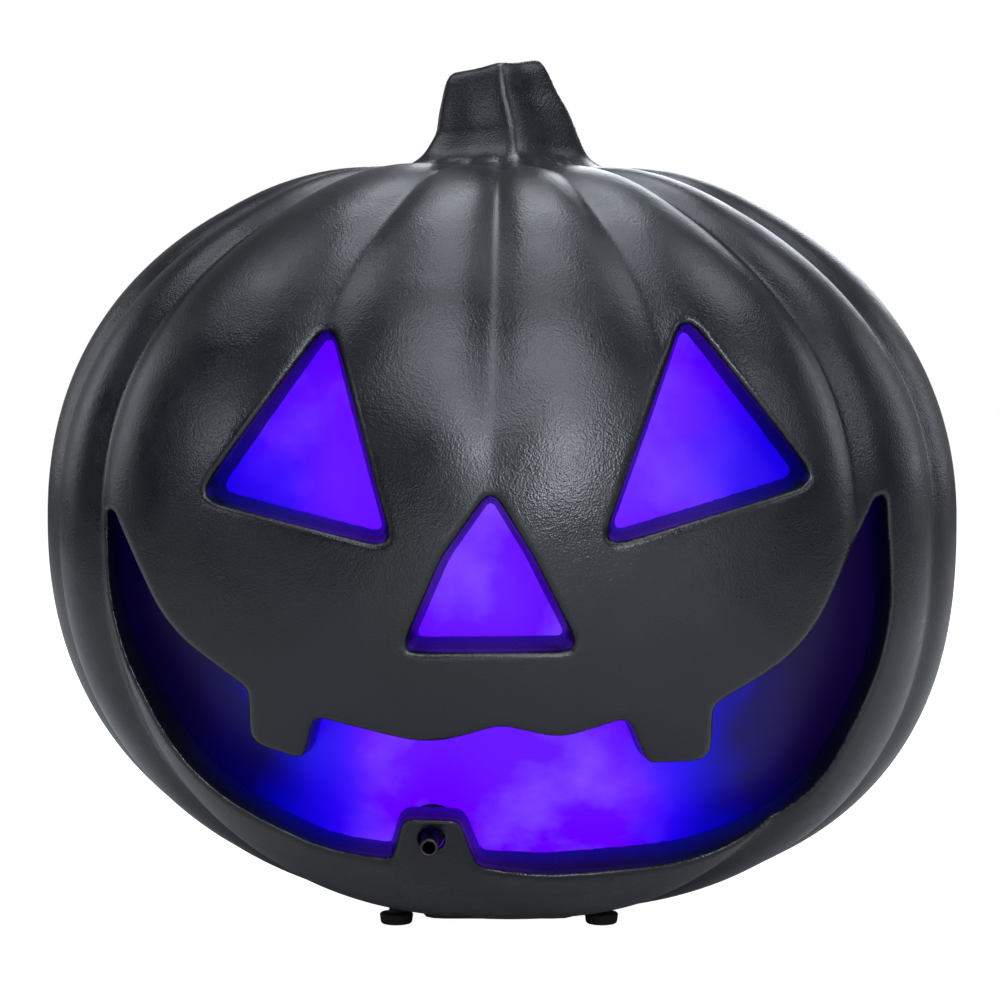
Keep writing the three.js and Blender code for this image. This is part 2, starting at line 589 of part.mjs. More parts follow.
// The fuse lies across the drawer, in a trough that is open upwards.
function fuseDrawer() {
  const top = INLET.z - FUSE.drop + FUSE.drawerHeight / 2;
  const half = FUSE.length / 2 + 0.5;
  const y = REAR_FLAT - FUSE.drawerDepth + 5;
  const trough = box([INLET.x - half, y - 2.9, top - 5.7], [INLET.x + half, y + 2.9, top + 1]);
  const grip = box([INLET.x - 5, REAR_FLAT + 2.2, top - 2], [INLET.x + 5, REAR_FLAT + 5, top + 1]);
  return cut(fuseBlock(0, 3.6), trough, grip);
}

function fuse() {
  const z = INLET.z - FUSE.drop + FUSE.drawerHeight / 2 - 5.7 + FIT_GAP + FUSE.radius;
  const y = REAR_FLAT - FUSE.drawerDepth + 5;
  const along = (length, radius) => new THREE.CylinderGeometry(radius, radius, length, 12).rotateZ(Math.PI / 2);
  const caps = [-1, 1].map((s) => along(5, FUSE.radius).translate(s * (FUSE.length / 2 - 2.5), 0, 0));
  return join(along(FUSE.length - 1, FUSE.radius - 0.2), ...caps).translate(INLET.x, y, z);
}

function switchBezel() {
  const { x, z, width, height, depth } = SWITCH;
  const edges = [x - width / 2, z - height / 2, x + width / 2, z + height / 2];
  const body = join(
    slab(rectangle(...edges, 2, 2), REAR_FLAT + FIT_GAP, REAR_FLAT + 2),
    slab(rectangle(...edges, 1.5), REAR_FLAT - depth, REAR_FLAT + 1),
  );
  return cut(body, slab(rectangle(...edges, 1, -2), REAR_FLAT - depth + 2, REAR_FLAT + 5));
}

// The rocker is drawn about its own pivot, with a shallow V across its face.
function switchRocker() {
  const halfWidth = SWITCH.width / 2 - 2.6;
  const halfHeight = SWITCH.height / 2 - 3.2;
  const side = new THREE.Shape();
  side.moveTo(-halfHeight, 2.2);
  side.lineTo(0, 3.4);
  side.lineTo(halfHeight, 2.2);
  side.lineTo(halfHeight * 0.85, -2.5);
  side.absarc(0, -2.5, 2.4, 0, -Math.PI, true);
  side.lineTo(-halfHeight * 0.85, -2.5);
  side.closePath();
  return new THREE.ExtrudeGeometry(side, { depth: 2 * halfWidth, bevelEnabled: false, curveSegments: 6 })
    .translate(0, 0, -halfWidth)
    .rotateZ(Math.PI / 2)
    .rotateY(Math.PI / 2)
    .rotateX(Math.PI / 2);
}

function button(x, z) {
  const front = REAR_FLAT - 9;
  const rear = REAR_FLAT + BUTTON.stand;
  return join(
    lengthwise(x, z, front, rear - 0.8, BUTTON.radius),
    lengthwise(x, z, rear - 0.8, rear, BUTTON.radius, BUTTON.radius - 0.8),
    lengthwise(x, z, front, REAR_FLAT - PANEL.wall - FIT_GAP, BUTTON.radius + 1.6),
  );
}

// ---- fluid path ---------------------------------------------------------------------------------

function fluidTank() {
  const shape = (inset) =>
    common(
      box(
        [-TANK.halfWidth + inset, TANK.front + inset, TANK.bottom + inset],
        [TANK.halfWidth - inset, TANK.rear - inset, TANK.top - inset],
      ),
      housing(9 + inset, 36, 14, false),
    );
  const neck = upright(0, FILLER.y, TANK.top - 6, FILLER.neckTop, FILLER.neck);
  const outlet = upright(30, 40, TANK.bottom - 8, TANK.bottom + 4, 3.2, 3.2, 12);
  return cut(
    join(shape(0), neck, outlet),
    shape(TANK.wall),
    upright(0, FILLER.y, TANK.top - 10, FAR, FILLER.bore),
    upright(30, 40, TANK.bottom - 10, TANK.bottom + 5, 1.8, 1.8, 12),
  );
}

function fillerCap() {
  const bottom = FILLER.floor + 3;
  const top = bottom + FILLER.capHeight;
  const grips = Array.from({ length: 10 }, (_, i) => {
    const angle = (2 * Math.PI * i) / 10;
    return upright(FILLER.cap * Math.cos(angle), FILLER.y + FILLER.cap * Math.sin(angle), bottom - 1, top + 1, 1.6, 1.6, 6);
  });
  return cut(
    join(
      upright(0, FILLER.y, bottom, top - 1.5, FILLER.cap, FILLER.cap, 30),
      upright(0, FILLER.y, top - 1.5, top, FILLER.cap, FILLER.cap - 1.5, 30),
    ),
    ...grips,
    upright(0, FILLER.y, bottom - 5, FILLER.neckTop + 2.6, FILLER.neck + FILLER.slack),
  );
}

// The flat washer under the cap's roof, with a plug that enters the neck.
function capSeal() {
  return join(
    upright(0, FILLER.y, FILLER.neckTop + FIT_GAP, FILLER.neckTop + 2.2, FILLER.neck - 0.2),
    upright(0, FILLER.y, FILLER.neckTop - 4, FILLER.neckTop + 1, FILLER.bore - 0.4),
  );
}

// A solid hose or pipe of a given radius along a smooth curve through points.
function tube(points, radius, steps, curveSegments = 5) {
  const path = new THREE.CatmullRomCurve3(points.map((p) => new THREE.Vector3(...p)));
  const section = new THREE.Shape().absarc(0, 0, radius, 0, 2 * Math.PI);
  return new THREE.ExtrudeGeometry(section, { steps, extrudePath: path, curveSegments });
}

// From the tank's outlet, over the pump and round into its front end.
function suctionRoute() {
  const mouth = PUMP.front - 20 - 2 * FIT_GAP;
  return [
    [30, 40, TANK.bottom - 8 - FIT_GAP],
    [30, 40, TANK.bottom - 11],
    [30, 39.5, TANK.bottom - 15],
    [33, 18, CHASSIS.top - 6.5],
    [33, -14, CHASSIS.top - 6.5],
    [28, -36, CHASSIS.top - 12],
    [PUMP.x, mouth - 11, PUMP.z + 8],
    [PUMP.x, mouth - 7, PUMP.z],
    [PUMP.x, mouth - 4, PUMP.z],
    [PUMP.x, mouth, PUMP.z],
  ];
}

// From the pump's outlet round into the back of the heater.
function feedRoute() {
  return [
    [PUMP.x, PUMP.rear + 5, PUMP.z],
    [PUMP.x, PUMP.rear + 9, PUMP.z],
    [PUMP.x, PUMP.rear + 13, PUMP.z],
    [PUMP.x - 16, PUMP.rear + 26, PUMP.z + 1],
    [NOZZLE.x + 8, HEATER.rear + 22, NOZZLE.z],
    [NOZZLE.x, HEATER.rear + 12, NOZZLE.z],
    [NOZZLE.x, HEATER.rear + 4, NOZZLE.z],
    [NOZZLE.x, HEATER.rear - 5, NOZZLE.z],
  ];
}

// ---- fog generator ------------------------------------------------------------------------------

function heaterBlock() {
  const { x, z, width, height, front, rear } = HEATER;
  const block = slab(rectangle(x - width / 2, z - height / 2, x + width / 2, z + height / 2, 4), front, rear);
  const fins = [-1, 1].map((s) => box([x + s * 8 - 2, front + 8, z + height / 2 - 1], [x + s * 8 + 2, rear - 8, z + height / 2 + 2]));
  return cut(
    join(block, ...fins),
    lengthwise(x, z, front - 1, front + 10, 3.2),
    lengthwise(x, z, rear - 8, rear + 1, 2.4),
  );
}

function heaterInsulation() {
  const { x, z, width, height, front, rear } = HEATER;
  const edges = [x - width / 2, z - height / 2, x + width / 2, z + height / 2];
  return cut(
    slab(rectangle(...edges, 6, 6), front + 6, rear - 6),
    slab(rectangle(...edges, 4, FIT_GAP + 2.2), front, rear),
  );
}

function nozzle() {
  const length = HEATER.front + 9 - NOZZLE.tip;
  const outer = lengthwise(NOZZLE.x, NOZZLE.z, NOZZLE.tip, NOZZLE.tip + length, NOZZLE.radius);
  const collar = lengthwise(NOZZLE.x, NOZZLE.z, HEATER.front - 9, HEATER.front - FIT_GAP, 5.2, 5.2, 6);
  const disc = lengthwise(NOZZLE.x, NOZZLE.z, NOZZLE.discY, NOZZLE.discY + 1.5, NOZZLE.disc);
  return cut(join(outer, collar, disc), lengthwise(NOZZLE.x, NOZZLE.z, NOZZLE.tip - 1, 0, NOZZLE.bore, NOZZLE.bore, 12));
}

// A bent sheet that bridges the heater and the pump, with four posts for the control board.
function chassis() {
  const { halfWidth, front, rear, top, sheet, post, legFront, legRear } = CHASSIS;
  const floor = TRAY_TOP + FIT_GAP;
  const legs = [-halfWidth, halfWidth - sheet].map((x) => box([x, legFront, floor], [x + sheet, legRear, top]));
  const posts = boardCorners().map(([x, y]) => upright(x, y, top - 1, top + post, 2.4, 2.4, 10));
  return join(box([-halfWidth, front, top - sheet], [halfWidth, rear, top]), ...legs, ...posts);
}

function pumpBody() {
  const { x, z, width, height, front, rear, bore } = PUMP;
  const block = slab(rectangle(x - width / 2, z - height / 2, x + width / 2, z + height / 2, 3), front, rear);
  return cut(
    join(block, lengthwise(x, z, front - 8, front + 1, 8), lengthwise(x, z, rear - 1, rear + 10, 4, 4, 14)),
    lengthwise(x, z, front - 9, rear - 6, bore),
    lengthwise(x, z, rear - 8, rear + 12, 2.3, 2.3, 12),
  );
}

function pumpPlunger() {
  const { x, z, front, bore } = PUMP;
  return cut(lengthwise(x, z, front - 1, front + 24, bore - 0.4), lengthwise(x, z, front - 3, front + 26, 1.4, 1.4, 10));
}

// The coil behind the plunger, between it and the blind end of the pump's bore.
function pumpSpring() {
  const { x, z, front, rear, bore } = PUMP;
  const coil = { turns: 4, radius: bore - 1.1, wire: 0.5, start: front + 24.9, end: rear - 6.9 };
  const route = Array.from({ length: coil.turns * 8 + 1 }, (_, i) => {
    const angle = (i / 8) * 2 * Math.PI;
    const y = THREE.MathUtils.lerp(coil.start, coil.end, i / (coil.turns * 8));
    return [x + coil.radius * Math.cos(angle), y, z + coil.radius * Math.sin(angle)];
  });
  return tube(route, coil.wire, coil.turns * 8, 3);
}

// The fitting that closes the pump's bore and takes the suction hose.
function pumpInlet() {
  const { x, z, front } = PUMP;
  const face = front - 8 - FIT_GAP;
  return cut(
    join(lengthwise(x, z, face - 3, face, 8), lengthwise(x, z, face - 12, face - 2, 3.4, 3.4, 14)),
    lengthwise(x, z, face - 13, face + 1, 2, 2, 12),
  );
}

// ---- light and electronics ----------------------------------------------------------------------

const LED_BOARD = { x: 0, y: -36, halfWidth: 30, bottom: 66, top: 156 };
const LEDS = [-1, 0, 1].flatMap((row) => [-1, 1].map((side) => [LED_BOARD.x + side * 18, 111 + row * 32]));

function ledBoard() {
  const { x, y, halfWidth, bottom, top } = LED_BOARD;
  return slab(rectangle(x - halfWidth, bottom, x + halfWidth, top, 4), y, y + 1.6);
}

function led(x, z) {
  const { y } = LED_BOARD;
  return join(
    lengthwise(x, z, y - 3, y - FIT_GAP, 3.4, 3.4, 12),
    lengthwise(x, z, y - 5.5, y - 2.9, 1.6, 3, 12),
  );
}

function ledBracket() {
  const { x, y, top } = LED_BOARD;
  const back = y + 1.6 + FIT_GAP;
  const floor = CHASSIS.top + FIT_GAP;
  return join(
    box([x - 8, back, floor], [x + 8, back + 2, top - 30]),
    box([x - 8, back, floor], [x + 8, CHASSIS.front + 8, floor + 2]),
  );
}

const BOARD_Z = CHASSIS.top + CHASSIS.post + FIT_GAP;
const BOARD_WALL = 1.6;

function boardCorners() {
  const ys = [CHASSIS.front + 4, CHASSIS.rear - 4];
  const across = CHASSIS.halfWidth - 5;
  return ys.flatMap((y) => [-across, across].map((x) => [x, y]));
}

function controlBoard() {
  const { halfWidth, front, rear } = CHASSIS;
  return plate(rectangle(-halfWidth, front, halfWidth, rear, 2), BOARD_Z, BOARD_Z + BOARD_WALL);
}

function onBoard(left, front, width, depth, height) {
  const floor = BOARD_Z + BOARD_WALL + FIT_GAP;
  return box([left, front, floor], [left + width, front + depth, floor + height]);
}

// ---- assembly -----------------------------------------------------------------------------------

const machine = new THREE.Group();
const works = new THREE.Group();
machine.add(works);

function add(name, geometry, material, position = [0, 0, 0], rotation = [0, 0, 0]) {
  const mesh = new THREE.Mesh(geometry, material);
  mesh.name = name;
  mesh.position.set(...position);
  mesh.rotation.set(...rotation);
  works.add(mesh);
}

add("front_shell", frontShell(), BLACK_SHELL);
add("rear_shell", rearShell(), BLACK_SHELL);
add("diffuser_panel", diffuser(), DIFFUSER_PLASTIC);

add("base_plate", basePlate(), BLACK_PLASTIC);
FEET.forEach(([name, x, y]) => add(`foot_${name}`, foot(x, y), RUBBER));
BASE_SCREWS.forEach(([x, y], i) => add(`base_screw_${i + 1}`, screw(9), STEEL, [x, y, BASE_BOSS.seat - 2 - FIT_GAP]));
SHELL_SCREWS.forEach(([x, z], i) =>
  add(`shell_screw_${i + 1}`, screw(17), STEEL, [x, SHELL_BOSS.seat + 2 + FIT_GAP, z], [Math.PI / 2, 0, 0]),
);

add("control_panel", controlPanel(), BLACK_PLASTIC);
panelCorners().forEach(([x, z], i) =>
  add(`panel_screw_${i + 1}`, screw(7, 2.9, 1.1), STEEL, [x, REAR_FLAT + 2 + FIT_GAP, z], [Math.PI / 2, 0, 0]),
);
add("mains_inlet", mainsInlet(), BLACK_PLASTIC);
inletPins().forEach(([name, x, z]) => add(name, inletPin(x, z), STEEL));
add("fuse_drawer", fuseDrawer(), BLACK_PLASTIC);
add("fuse", fuse(), CLEAR);
add("switch_bezel", switchBezel(), BLACK_PLASTIC);
add("switch_rocker", switchRocker(), RED, [SWITCH.x, REAR_FLAT - 0.6, SWITCH.z], [SWITCH.tilt, 0, 0]);
BUTTONS.forEach(([name, x, z]) => add(name, button(x, z), RUBBER));
add("ready_lamp", lengthwise(LAMP.x, LAMP.z, REAR_FLAT - 8, REAR_FLAT + 1.5, LAMP.radius, LAMP.radius * 0.7, 12), RED);

add("filler_cap", fillerCap(), BLACK_PLASTIC);
add("cap_seal", capSeal(), RUBBER);
add("fluid_tank", fluidTank(), TANK_PLASTIC);
add("suction_hose", tube(suctionRoute(), 2.6, 20), HOSE);
add("pump_body", pumpBody(), ALUMINIUM);
add("pump_plunger", pumpPlunger(), STEEL);
add("pump_spring", pumpSpring(), STEEL);
add("pump_inlet", pumpInlet(), BRASS);
add("feed_pipe", tube(feedRoute(), 1.9, 20), COPPER_COIL);
add("heater_block", heaterBlock(), ALUMINIUM);
add("heater_insulation", heaterInsulation(), FIBRE);
add("nozzle", nozzle(), BRASS);
add("chassis", chassis(), STEEL);

add("led_board", ledBoard(), BOARD);
LEDS.forEach(([x, z], i) => add(`led_${i + 1}`, led(x, z), CLEAR));
add("led_bracket", ledBracket(), STEEL);
add("control_board", controlBoard(), BOARD);
add("transformer", onBoard(6, -10, 26, 24, 20), COPPER_COIL);
add("relay", onBoard(-28, -8, 16, 20, 15), BLACK_PLASTIC);

const extent = new THREE.Box3().setFromObject(works, true);
const middle = extent.getCenter(new THREE.Vector3());
works.position.set(-middle.x, -middle.y, -extent.min.z);

export default machine;
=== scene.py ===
import json
import math

import bmesh
import bpy
import numpy as np
from mathutils import Matrix, Vector


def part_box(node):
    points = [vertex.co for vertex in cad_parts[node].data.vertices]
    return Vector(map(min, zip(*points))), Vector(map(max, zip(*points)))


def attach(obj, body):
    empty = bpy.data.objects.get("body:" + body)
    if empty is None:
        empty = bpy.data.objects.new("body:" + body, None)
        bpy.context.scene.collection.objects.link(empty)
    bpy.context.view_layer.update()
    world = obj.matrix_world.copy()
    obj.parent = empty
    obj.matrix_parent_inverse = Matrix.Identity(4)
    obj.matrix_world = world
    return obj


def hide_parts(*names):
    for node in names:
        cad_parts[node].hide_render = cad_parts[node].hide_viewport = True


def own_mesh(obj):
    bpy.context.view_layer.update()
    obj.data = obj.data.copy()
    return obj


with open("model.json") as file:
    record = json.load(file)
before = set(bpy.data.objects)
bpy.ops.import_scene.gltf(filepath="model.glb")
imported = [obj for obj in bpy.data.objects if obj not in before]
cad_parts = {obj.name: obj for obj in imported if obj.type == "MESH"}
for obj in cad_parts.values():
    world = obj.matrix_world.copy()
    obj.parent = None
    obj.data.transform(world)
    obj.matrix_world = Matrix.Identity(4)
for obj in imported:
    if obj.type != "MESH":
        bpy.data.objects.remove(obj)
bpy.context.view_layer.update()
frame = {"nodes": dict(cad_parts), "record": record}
SLOT_OF = {part["node"]: part["material_slot"] for part in frame["record"]["subparts"]}
BODY_OF = {node: body for body, nodes in frame["record"]["behaviour"]["bodies"].items() for node in nodes}

# The shells are drawn in millimetres about their seam, as in the CAD source.
MM = 0.001
SEAM_Y = (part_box("front_shell")[1].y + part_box("rear_shell")[0].y) / 2
MIDDLE_X = (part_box("base_plate")[0].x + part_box("base_plate")[1].x) / 2
ORIGIN = np.array([MIDDLE_X, SEAM_Y, 0.0])

# ---- the housing's dimensions -------------------------------------------------------------------

HALF_WIDTH, FRONT_DEPTH, REAR_DEPTH, REAR_FLAT = 132.5, 111.0, 103.0, 87.5
EQUATOR_Z, CROWN_Z, SOLE_Z = 113.8, 223.8, 1.4
ROUNDNESS_TOP, ROUNDNESS_BOTTOM = (2.17, -0.05), (2.36, 0.14)  # mean, and growth towards +X
WALL, SEAM_GAP, FIT_GAP = 2.8, 0.4, 0.35
DIMPLE_DEPTH, DIMPLE_RADIUS = 12.5, 41.0
# azimuth, depth, half width in degrees, and whether the valley runs below the equator
VALLEYS = [
    (-1, 4.2, 5, False), (21, 3, 6, False), (47.5, 5, 5, True), (69.5, 5, 5, True), (94, 5.5, 5.5, True),
    (117, 5.5, 6, True), (140, 5, 6, True), (160, 4, 6, False), (180, 4, 6, False), (200, 4, 6, False),
    (222, 5, 6, True), (245, 5.5, 6, True), (266, 5.5, 5.5, True), (285, 4.5, 5, True), (302.5, 5, 5, True),
    (336, 3, 6, False),
]
VALLEY_SHARPNESS, CROWN_SWEEP = 1.6, 22  # the valleys sweep forward towards the crown
STEM_RINGS = [  # height, offset in x, radius
    (200, 0.5, 33), (208.5, 0.5, 30), (213, 0.5, 25.5), (218, 0.6, 21.8), (224, 0.4, 18.8),
    (232, -1.3, 16.2), (239, -1.9, 14), (242.5, -2.2, 12),
]
STEM_FLUTES, STEM_FLUTE_DEPTH, STEM_TURN, STEM_SLANT = 5, 0.11, 0.175, 0.17
STEM_TOP, STEM_BOTTOM, STEM_DISH, STEM_DISH_SPREAD = 242.3, 190, 1.6, 70
STEM_FILLET, RIDGE_ROUNDING = 5, 0.012
# corners are x, z, radius and the shift in x and z of the wall's inner edge
LEFT_EYE = [(-43, 171.5, 4), (-78, 124, 4.5, 1.2), (-26.5, 112.3, 4)]
RIGHT_EYE = [(46.5, 172.5, 4), (24.5, 112.3, 4), (82, 128, 4.5, -1.2)]
NOSE = [(-2.3, 128, 3.2), (-15, 110, 30), (-25.2, 86.3, 3.5), (20.2, 86.8, 3.5), (8, 111, 30)]
MOUTH = [
    (-104.8, 121, 1.3), (-105.4, 90, 60, 2), (-82, 46.5, 60, 1.5, 1.5), (-46, 30.5, 55), (-28.3, 28.8, 2.5),
    (-25, 41.8, 3.2, 0, -1.5), (-10.6, 41.8, 3.2, 0, -1.5), (-6.2, 27.3, 4.5), (12, 24, 60, 0, 2.5),
    (52, 26, 60, 0, 3), (84, 39.5, 55, -1, 2.5), (104.2, 86, 70), (101.6, 124.4, 1.3), (98, 123.4, 1.3),
    (78.5, 85.5, 42), (53.8, 72, 4.5), (53.6, 57, 5), (37.3, 57.2, 3), (32.2, 69.6, 3.5), (15, 64.4, 18),
    (0, 68, 12), (-18, 62.6, 30), (-47.2, 69.2, 3), (-50.5, 57.3, 2.6), (-64.4, 61, 5.5),
    (-64.4, 75.5, 4.5), (-86, 90, 40), (-101.4, 119.6, 1.3),
]
EYE_DRAFT, MOUTH_DRAFT, RETURN_DEPTH, RETURN_WALL, LIP = 2.4, 1.5, 22.0, 2.2, 1.5
OPENINGS = [(LEFT_EYE, EYE_DRAFT), (RIGHT_EYE, EYE_DRAFT), (NOSE, EYE_DRAFT), (MOUTH, MOUTH_DRAFT)]
PORT = (-17.8, 35.9, 3.3)  # x, z, radius
# what cuts the nozzle's hole through the diffuser
CUTTER_MIDDLE, CUTTER_RADIUS, CUTTER_LENGTH = (-17.8, -40, 35.4), 7, 120
BASE_HOLE = (-21, -28, 21, 34, 6)
FEET = [(-29, -16), (29, -16), (-29, 27), (29, 27)]
BASE_SCREWS = [(-31, -3), (31, -3), (-31, 12), (31, 12)]
SHELL_SCREWS = [(-107, 60), (107, 60), (-101, 170), (101, 170)]
# rectangles are left, low, right, high and corner radius
PANEL = (-44, 67, 44, 121, 6)
PANEL_WALL, PANEL_LEDGE, PANEL_INSET = 2.5, 5, 4.4
VENTS = [(-30, 129 + 6.2 * i, 30, 132 + 6.2 * i, 1.4) for i in range(6)]
FILLER_Y, FILLER_FLOOR, FILLER_WELL, FILLER_NECK = 51, 185, 22, 10

# ---- shapes as signed distances: negative inside ------------------------------------------------


def round_max(a, b, radius):
    """What is inside both a and b, with a rounded edge where they meet."""
    corner = np.hypot(np.maximum(a + radius, 0), np.maximum(b + radius, 0))
    return np.minimum(-radius, np.maximum(a, b)) + corner


def round_min(a, b, radius):
    """What is inside a or b, with a fillet where they meet."""
    return -round_max(-a, -b, radius)


def smoothstep(value, low, high):
    t = np.clip((value - low) / (high - low), 0, 1)
    return t * t * (3 - 2 * t)


def circle(u, v, centre, radius):
    return np.hypot(u - centre[0], v - centre[1]) - radius


def rectangle(u, v, edges, grow=0.0):
    left, low, right, high, corner = edges
    du = np.abs(u - (left + right) / 2) - ((right - left) / 2 + grow - corner)
    dv = np.abs(v - (low + high) / 2) - ((high - low) / 2 + grow - corner)
    return np.hypot(np.maximum(du, 0), np.maximum(dv, 0)) + np.minimum(np.maximum(du, dv), 0) - corner


def between(value, low, high):
    return np.maximum(low - value, value - high)


def rounded(corners, grow=0.0, inward=0.0, steps=5):
    """The outline of an opening, moved outwards by grow, with its corners rounded."""
    full = [tuple(c) + (0,) * (5 - len(c)) for c in corners]
    points = [Vector((x + dx * inward, z + dz * inward)) for x, z, _, dx, dz in full]
    area = sum(a.x * b.y - b.x * a.y for a, b in zip(points, points[1:] + points[:1]))
    turn = 1 if area > 0 else -1
    outline = []
    for i, corner in enumerate(points):
        before, after = points[i - 1], points[(i + 1) % len(points)]
        arriving, leaving = (corner - before).normalized(), (after - corner).normalized()
        cross = arriving.x * leaving.y - arriving.y * leaving.x
        half = math.acos(max(-1.0, min(1.0, arriving.dot(leaving)))) / 2
        side = Vector((arriving.y, -arriving.x)) * turn
        other = Vector((leaving.y, -leaving.x)) * turn
        mitre = (side + other).normalized()
        tip = corner + mitre * (grow / mitre.dot(side))
        radius = max(full[i][2] + grow * (1 if cross * turn > 0 else -1), 0.4)
        room = 0.49 * min((corner - before).length, (corner - after).length)
        reach = min(radius * math.tan(half), room)
        first, last = tip - arriving * reach, tip + leaving * reach
        for k in range(steps + 1):
            t = k / steps
            outline.append(first * (1 - t) ** 2 + tip * (2 * t * (1 - t)) + last * t**2)
    return np.array(outline)


def outline_distance(outline, x, z):
    x, z = np.broadcast_arrays(x, z)
    best = np.full(x.shape, 1e9)
    inside = np.zeros(x.shape, bool)
    for (ax, az), (bx, bz) in zip(outline, np.roll(outline, -1, 0)):
        ex, ez = bx - ax, bz - az
        length = ex * ex + ez * ez
        if length < 1e-9:
            continue
        t = np.clip(((x - ax) * ex + (z - az) * ez) / length, 0, 1)
        best = np.minimum(best, (x - ax - t * ex) ** 2 + (z - az - t * ez) ** 2)
        if ez != 0:
            inside ^= ((az > z) != (bz > z)) & (x < ax + (z - az) * ex / ez)
    return np.sqrt(best) * np.where(inside, -1, 1)


def roundness(top, across):
    mean = np.where(top, ROUNDNESS_TOP[0], ROUNDNESS_BOTTOM[0])
    return mean + np.where(top, ROUNDNESS_TOP[1], ROUNDNESS_BOTTOM[1]) * across


def face_y(x, z):
    """Where the face would lie without its ribs."""
    top = z > EQUATOR_Z
    share = np.minimum(1, np.abs(z - EQUATOR_Z) / np.where(top, CROWN_Z - EQUATOR_Z, EQUATOR_Z - SOLE_Z))
    middle = roundness(top, 0)
    reach = np.maximum(1 - share**middle, 1e-9) ** (1 / middle)
    power = roundness(top, np.clip(x / HALF_WIDTH / reach, -1, 1))
    reach = np.maximum(1 - share**power, 0) ** (1 / power)
    return -FRONT_DEPTH * np.sqrt(np.maximum(reach**2 - (x / HALF_WIDTH) ** 2, 0))


def valley_sum(azimuth, full):
    total = 0.0
    for middle, depth, width, runs_down in VALLEYS:
        if runs_down == full:
            away = np.abs((azimuth - middle + 180) % 360 - 180)
            total = total + depth / (1 + (away / width) ** VALLEY_SHARPNESS)
    return total


def pumpkin(x, y, z):
    depth = np.where(y < 0, FRONT_DEPTH, REAR_DEPTH)
    u, v = x / HALF_WIDTH, y / depth
    reach = np.hypot(u, v) + 1e-5
    azimuth = np.degrees(np.arctan2(u, -v))
    dimple = DIMPLE_DEPTH * np.exp(-(x**2 + y**2) / DIMPLE_RADIUS**2)
    height = z - EQUATOR_Z + np.where(z > EQUATOR_Z, dimple, 0)
    top = height > 0
    tall = np.where(top, CROWN_Z - EQUATOR_Z, EQUATOR_Z - SOLE_Z)
    rise = np.abs(height) / tall
    power = roundness(top, u / reach)
    level = (reach**power + rise**power) ** (1 / power)
    sideways = reach ** (power - 2) * np.hypot(u / HALF_WIDTH, v / depth)
    slope = level ** (1 - power) * np.hypot(sideways, rise ** (power - 1) / tall)
    high = np.sign(height) * rise / level
    fade = smoothstep(high, -0.05, 0.55)
    azimuth = azimuth + CROWN_SWEEP * np.sin(np.radians(azimuth)) * np.maximum(0, high) ** 3
    valley = valley_sum(azimuth, True) + valley_sum(azimuth, False) * fade
    return (level - 1) / slope + valley * np.minimum(1, reach / level * 1.6)


def stem(x, y, z):
    heights = np.arange(196, 250, 0.5)
    spread = np.exp(-(np.arange(-6, 7) / 3.0) ** 2)
    spread /= spread.sum()
    rings = np.array(STEM_RINGS)

    def profile(column):
        raw = np.interp(heights, rings[:, 0], rings[:, column])
        return np.convolve(np.pad(raw, 6, mode="edge"), spread, mode="valid")

    offset = np.interp(z, heights, profile(1))
    level = z - STEM_SLANT * (x - offset) * smoothstep(z, 216, 232)
    across = x - np.interp(level, heights, profile(1))
    angle = np.arctan2(y, across)
    hollow = np.sqrt(np.sin(STEM_FLUTES / 2 * (angle + STEM_TURN)) ** 2 + RIDGE_ROUNDING)
    flute = STEM_FLUTE_DEPTH * (1 - 2 * hollow) * smoothstep(level, 204, 213)
    side = (np.hypot(across, y) - np.interp(level, heights, profile(2)) * (1 + flute)) * 0.88
    dished = level - STEM_TOP + STEM_DISH * np.exp(-(across**2 + y**2) / STEM_DISH_SPREAD)
    return np.maximum(round_max(side, dished, 1.6), STEM_BOTTOM - z)


def outer_skin(x, y, z):
    return round_min(pumpkin(x, y, z), stem(x, y, z), STEM_FILLET)


def floor_bosses(x, y, z):
    feet = [np.maximum(circle(x, y, foot, 5.8), between(z, 3.4, 9.4)) for foot in FEET]
    screws = [np.maximum(circle(x, y, screw, 5), between(z, 2, 10.4)) for screw in BASE_SCREWS]
    return np.minimum.reduce(np.broadcast_arrays(*feet, *screws))


def floor_holes(x, y, z):
    holes = [rectangle(x, y, BASE_HOLE, FIT_GAP)]
    holes += [np.maximum(circle(x, y, foot, 5.9), z - 3.4) for foot in FEET]
    holes += [np.maximum(circle(x, y, foot, 2.55), z - 7.4) for foot in FEET]
    holes += [np.maximum(circle(x, y, screw, 3.3), z - 6.6) for screw in BASE_SCREWS]
    holes += [circle(x, y, screw, 1.8) for screw in BASE_SCREWS]
    return np.maximum(np.minimum.reduce(np.broadcast_arrays(*holes)), z - 20)


def seam_bosses(x, y, z, front, rear):
    posts = [np.maximum(circle(x, z, screw, 5), between(y, front, rear)) for screw in SHELL_SCREWS]
    for sx, sz in SHELL_SCREWS:
        edges = (min(sx, sx * 1.3), sz - 1.2, max(sx, sx * 1.3), sz + 1.2, 0.3)
        posts.append(np.maximum(rectangle(x, z, edges), between(y, front, min(rear, 14))))
    return np.minimum.reduce(np.broadcast_arrays(*posts))


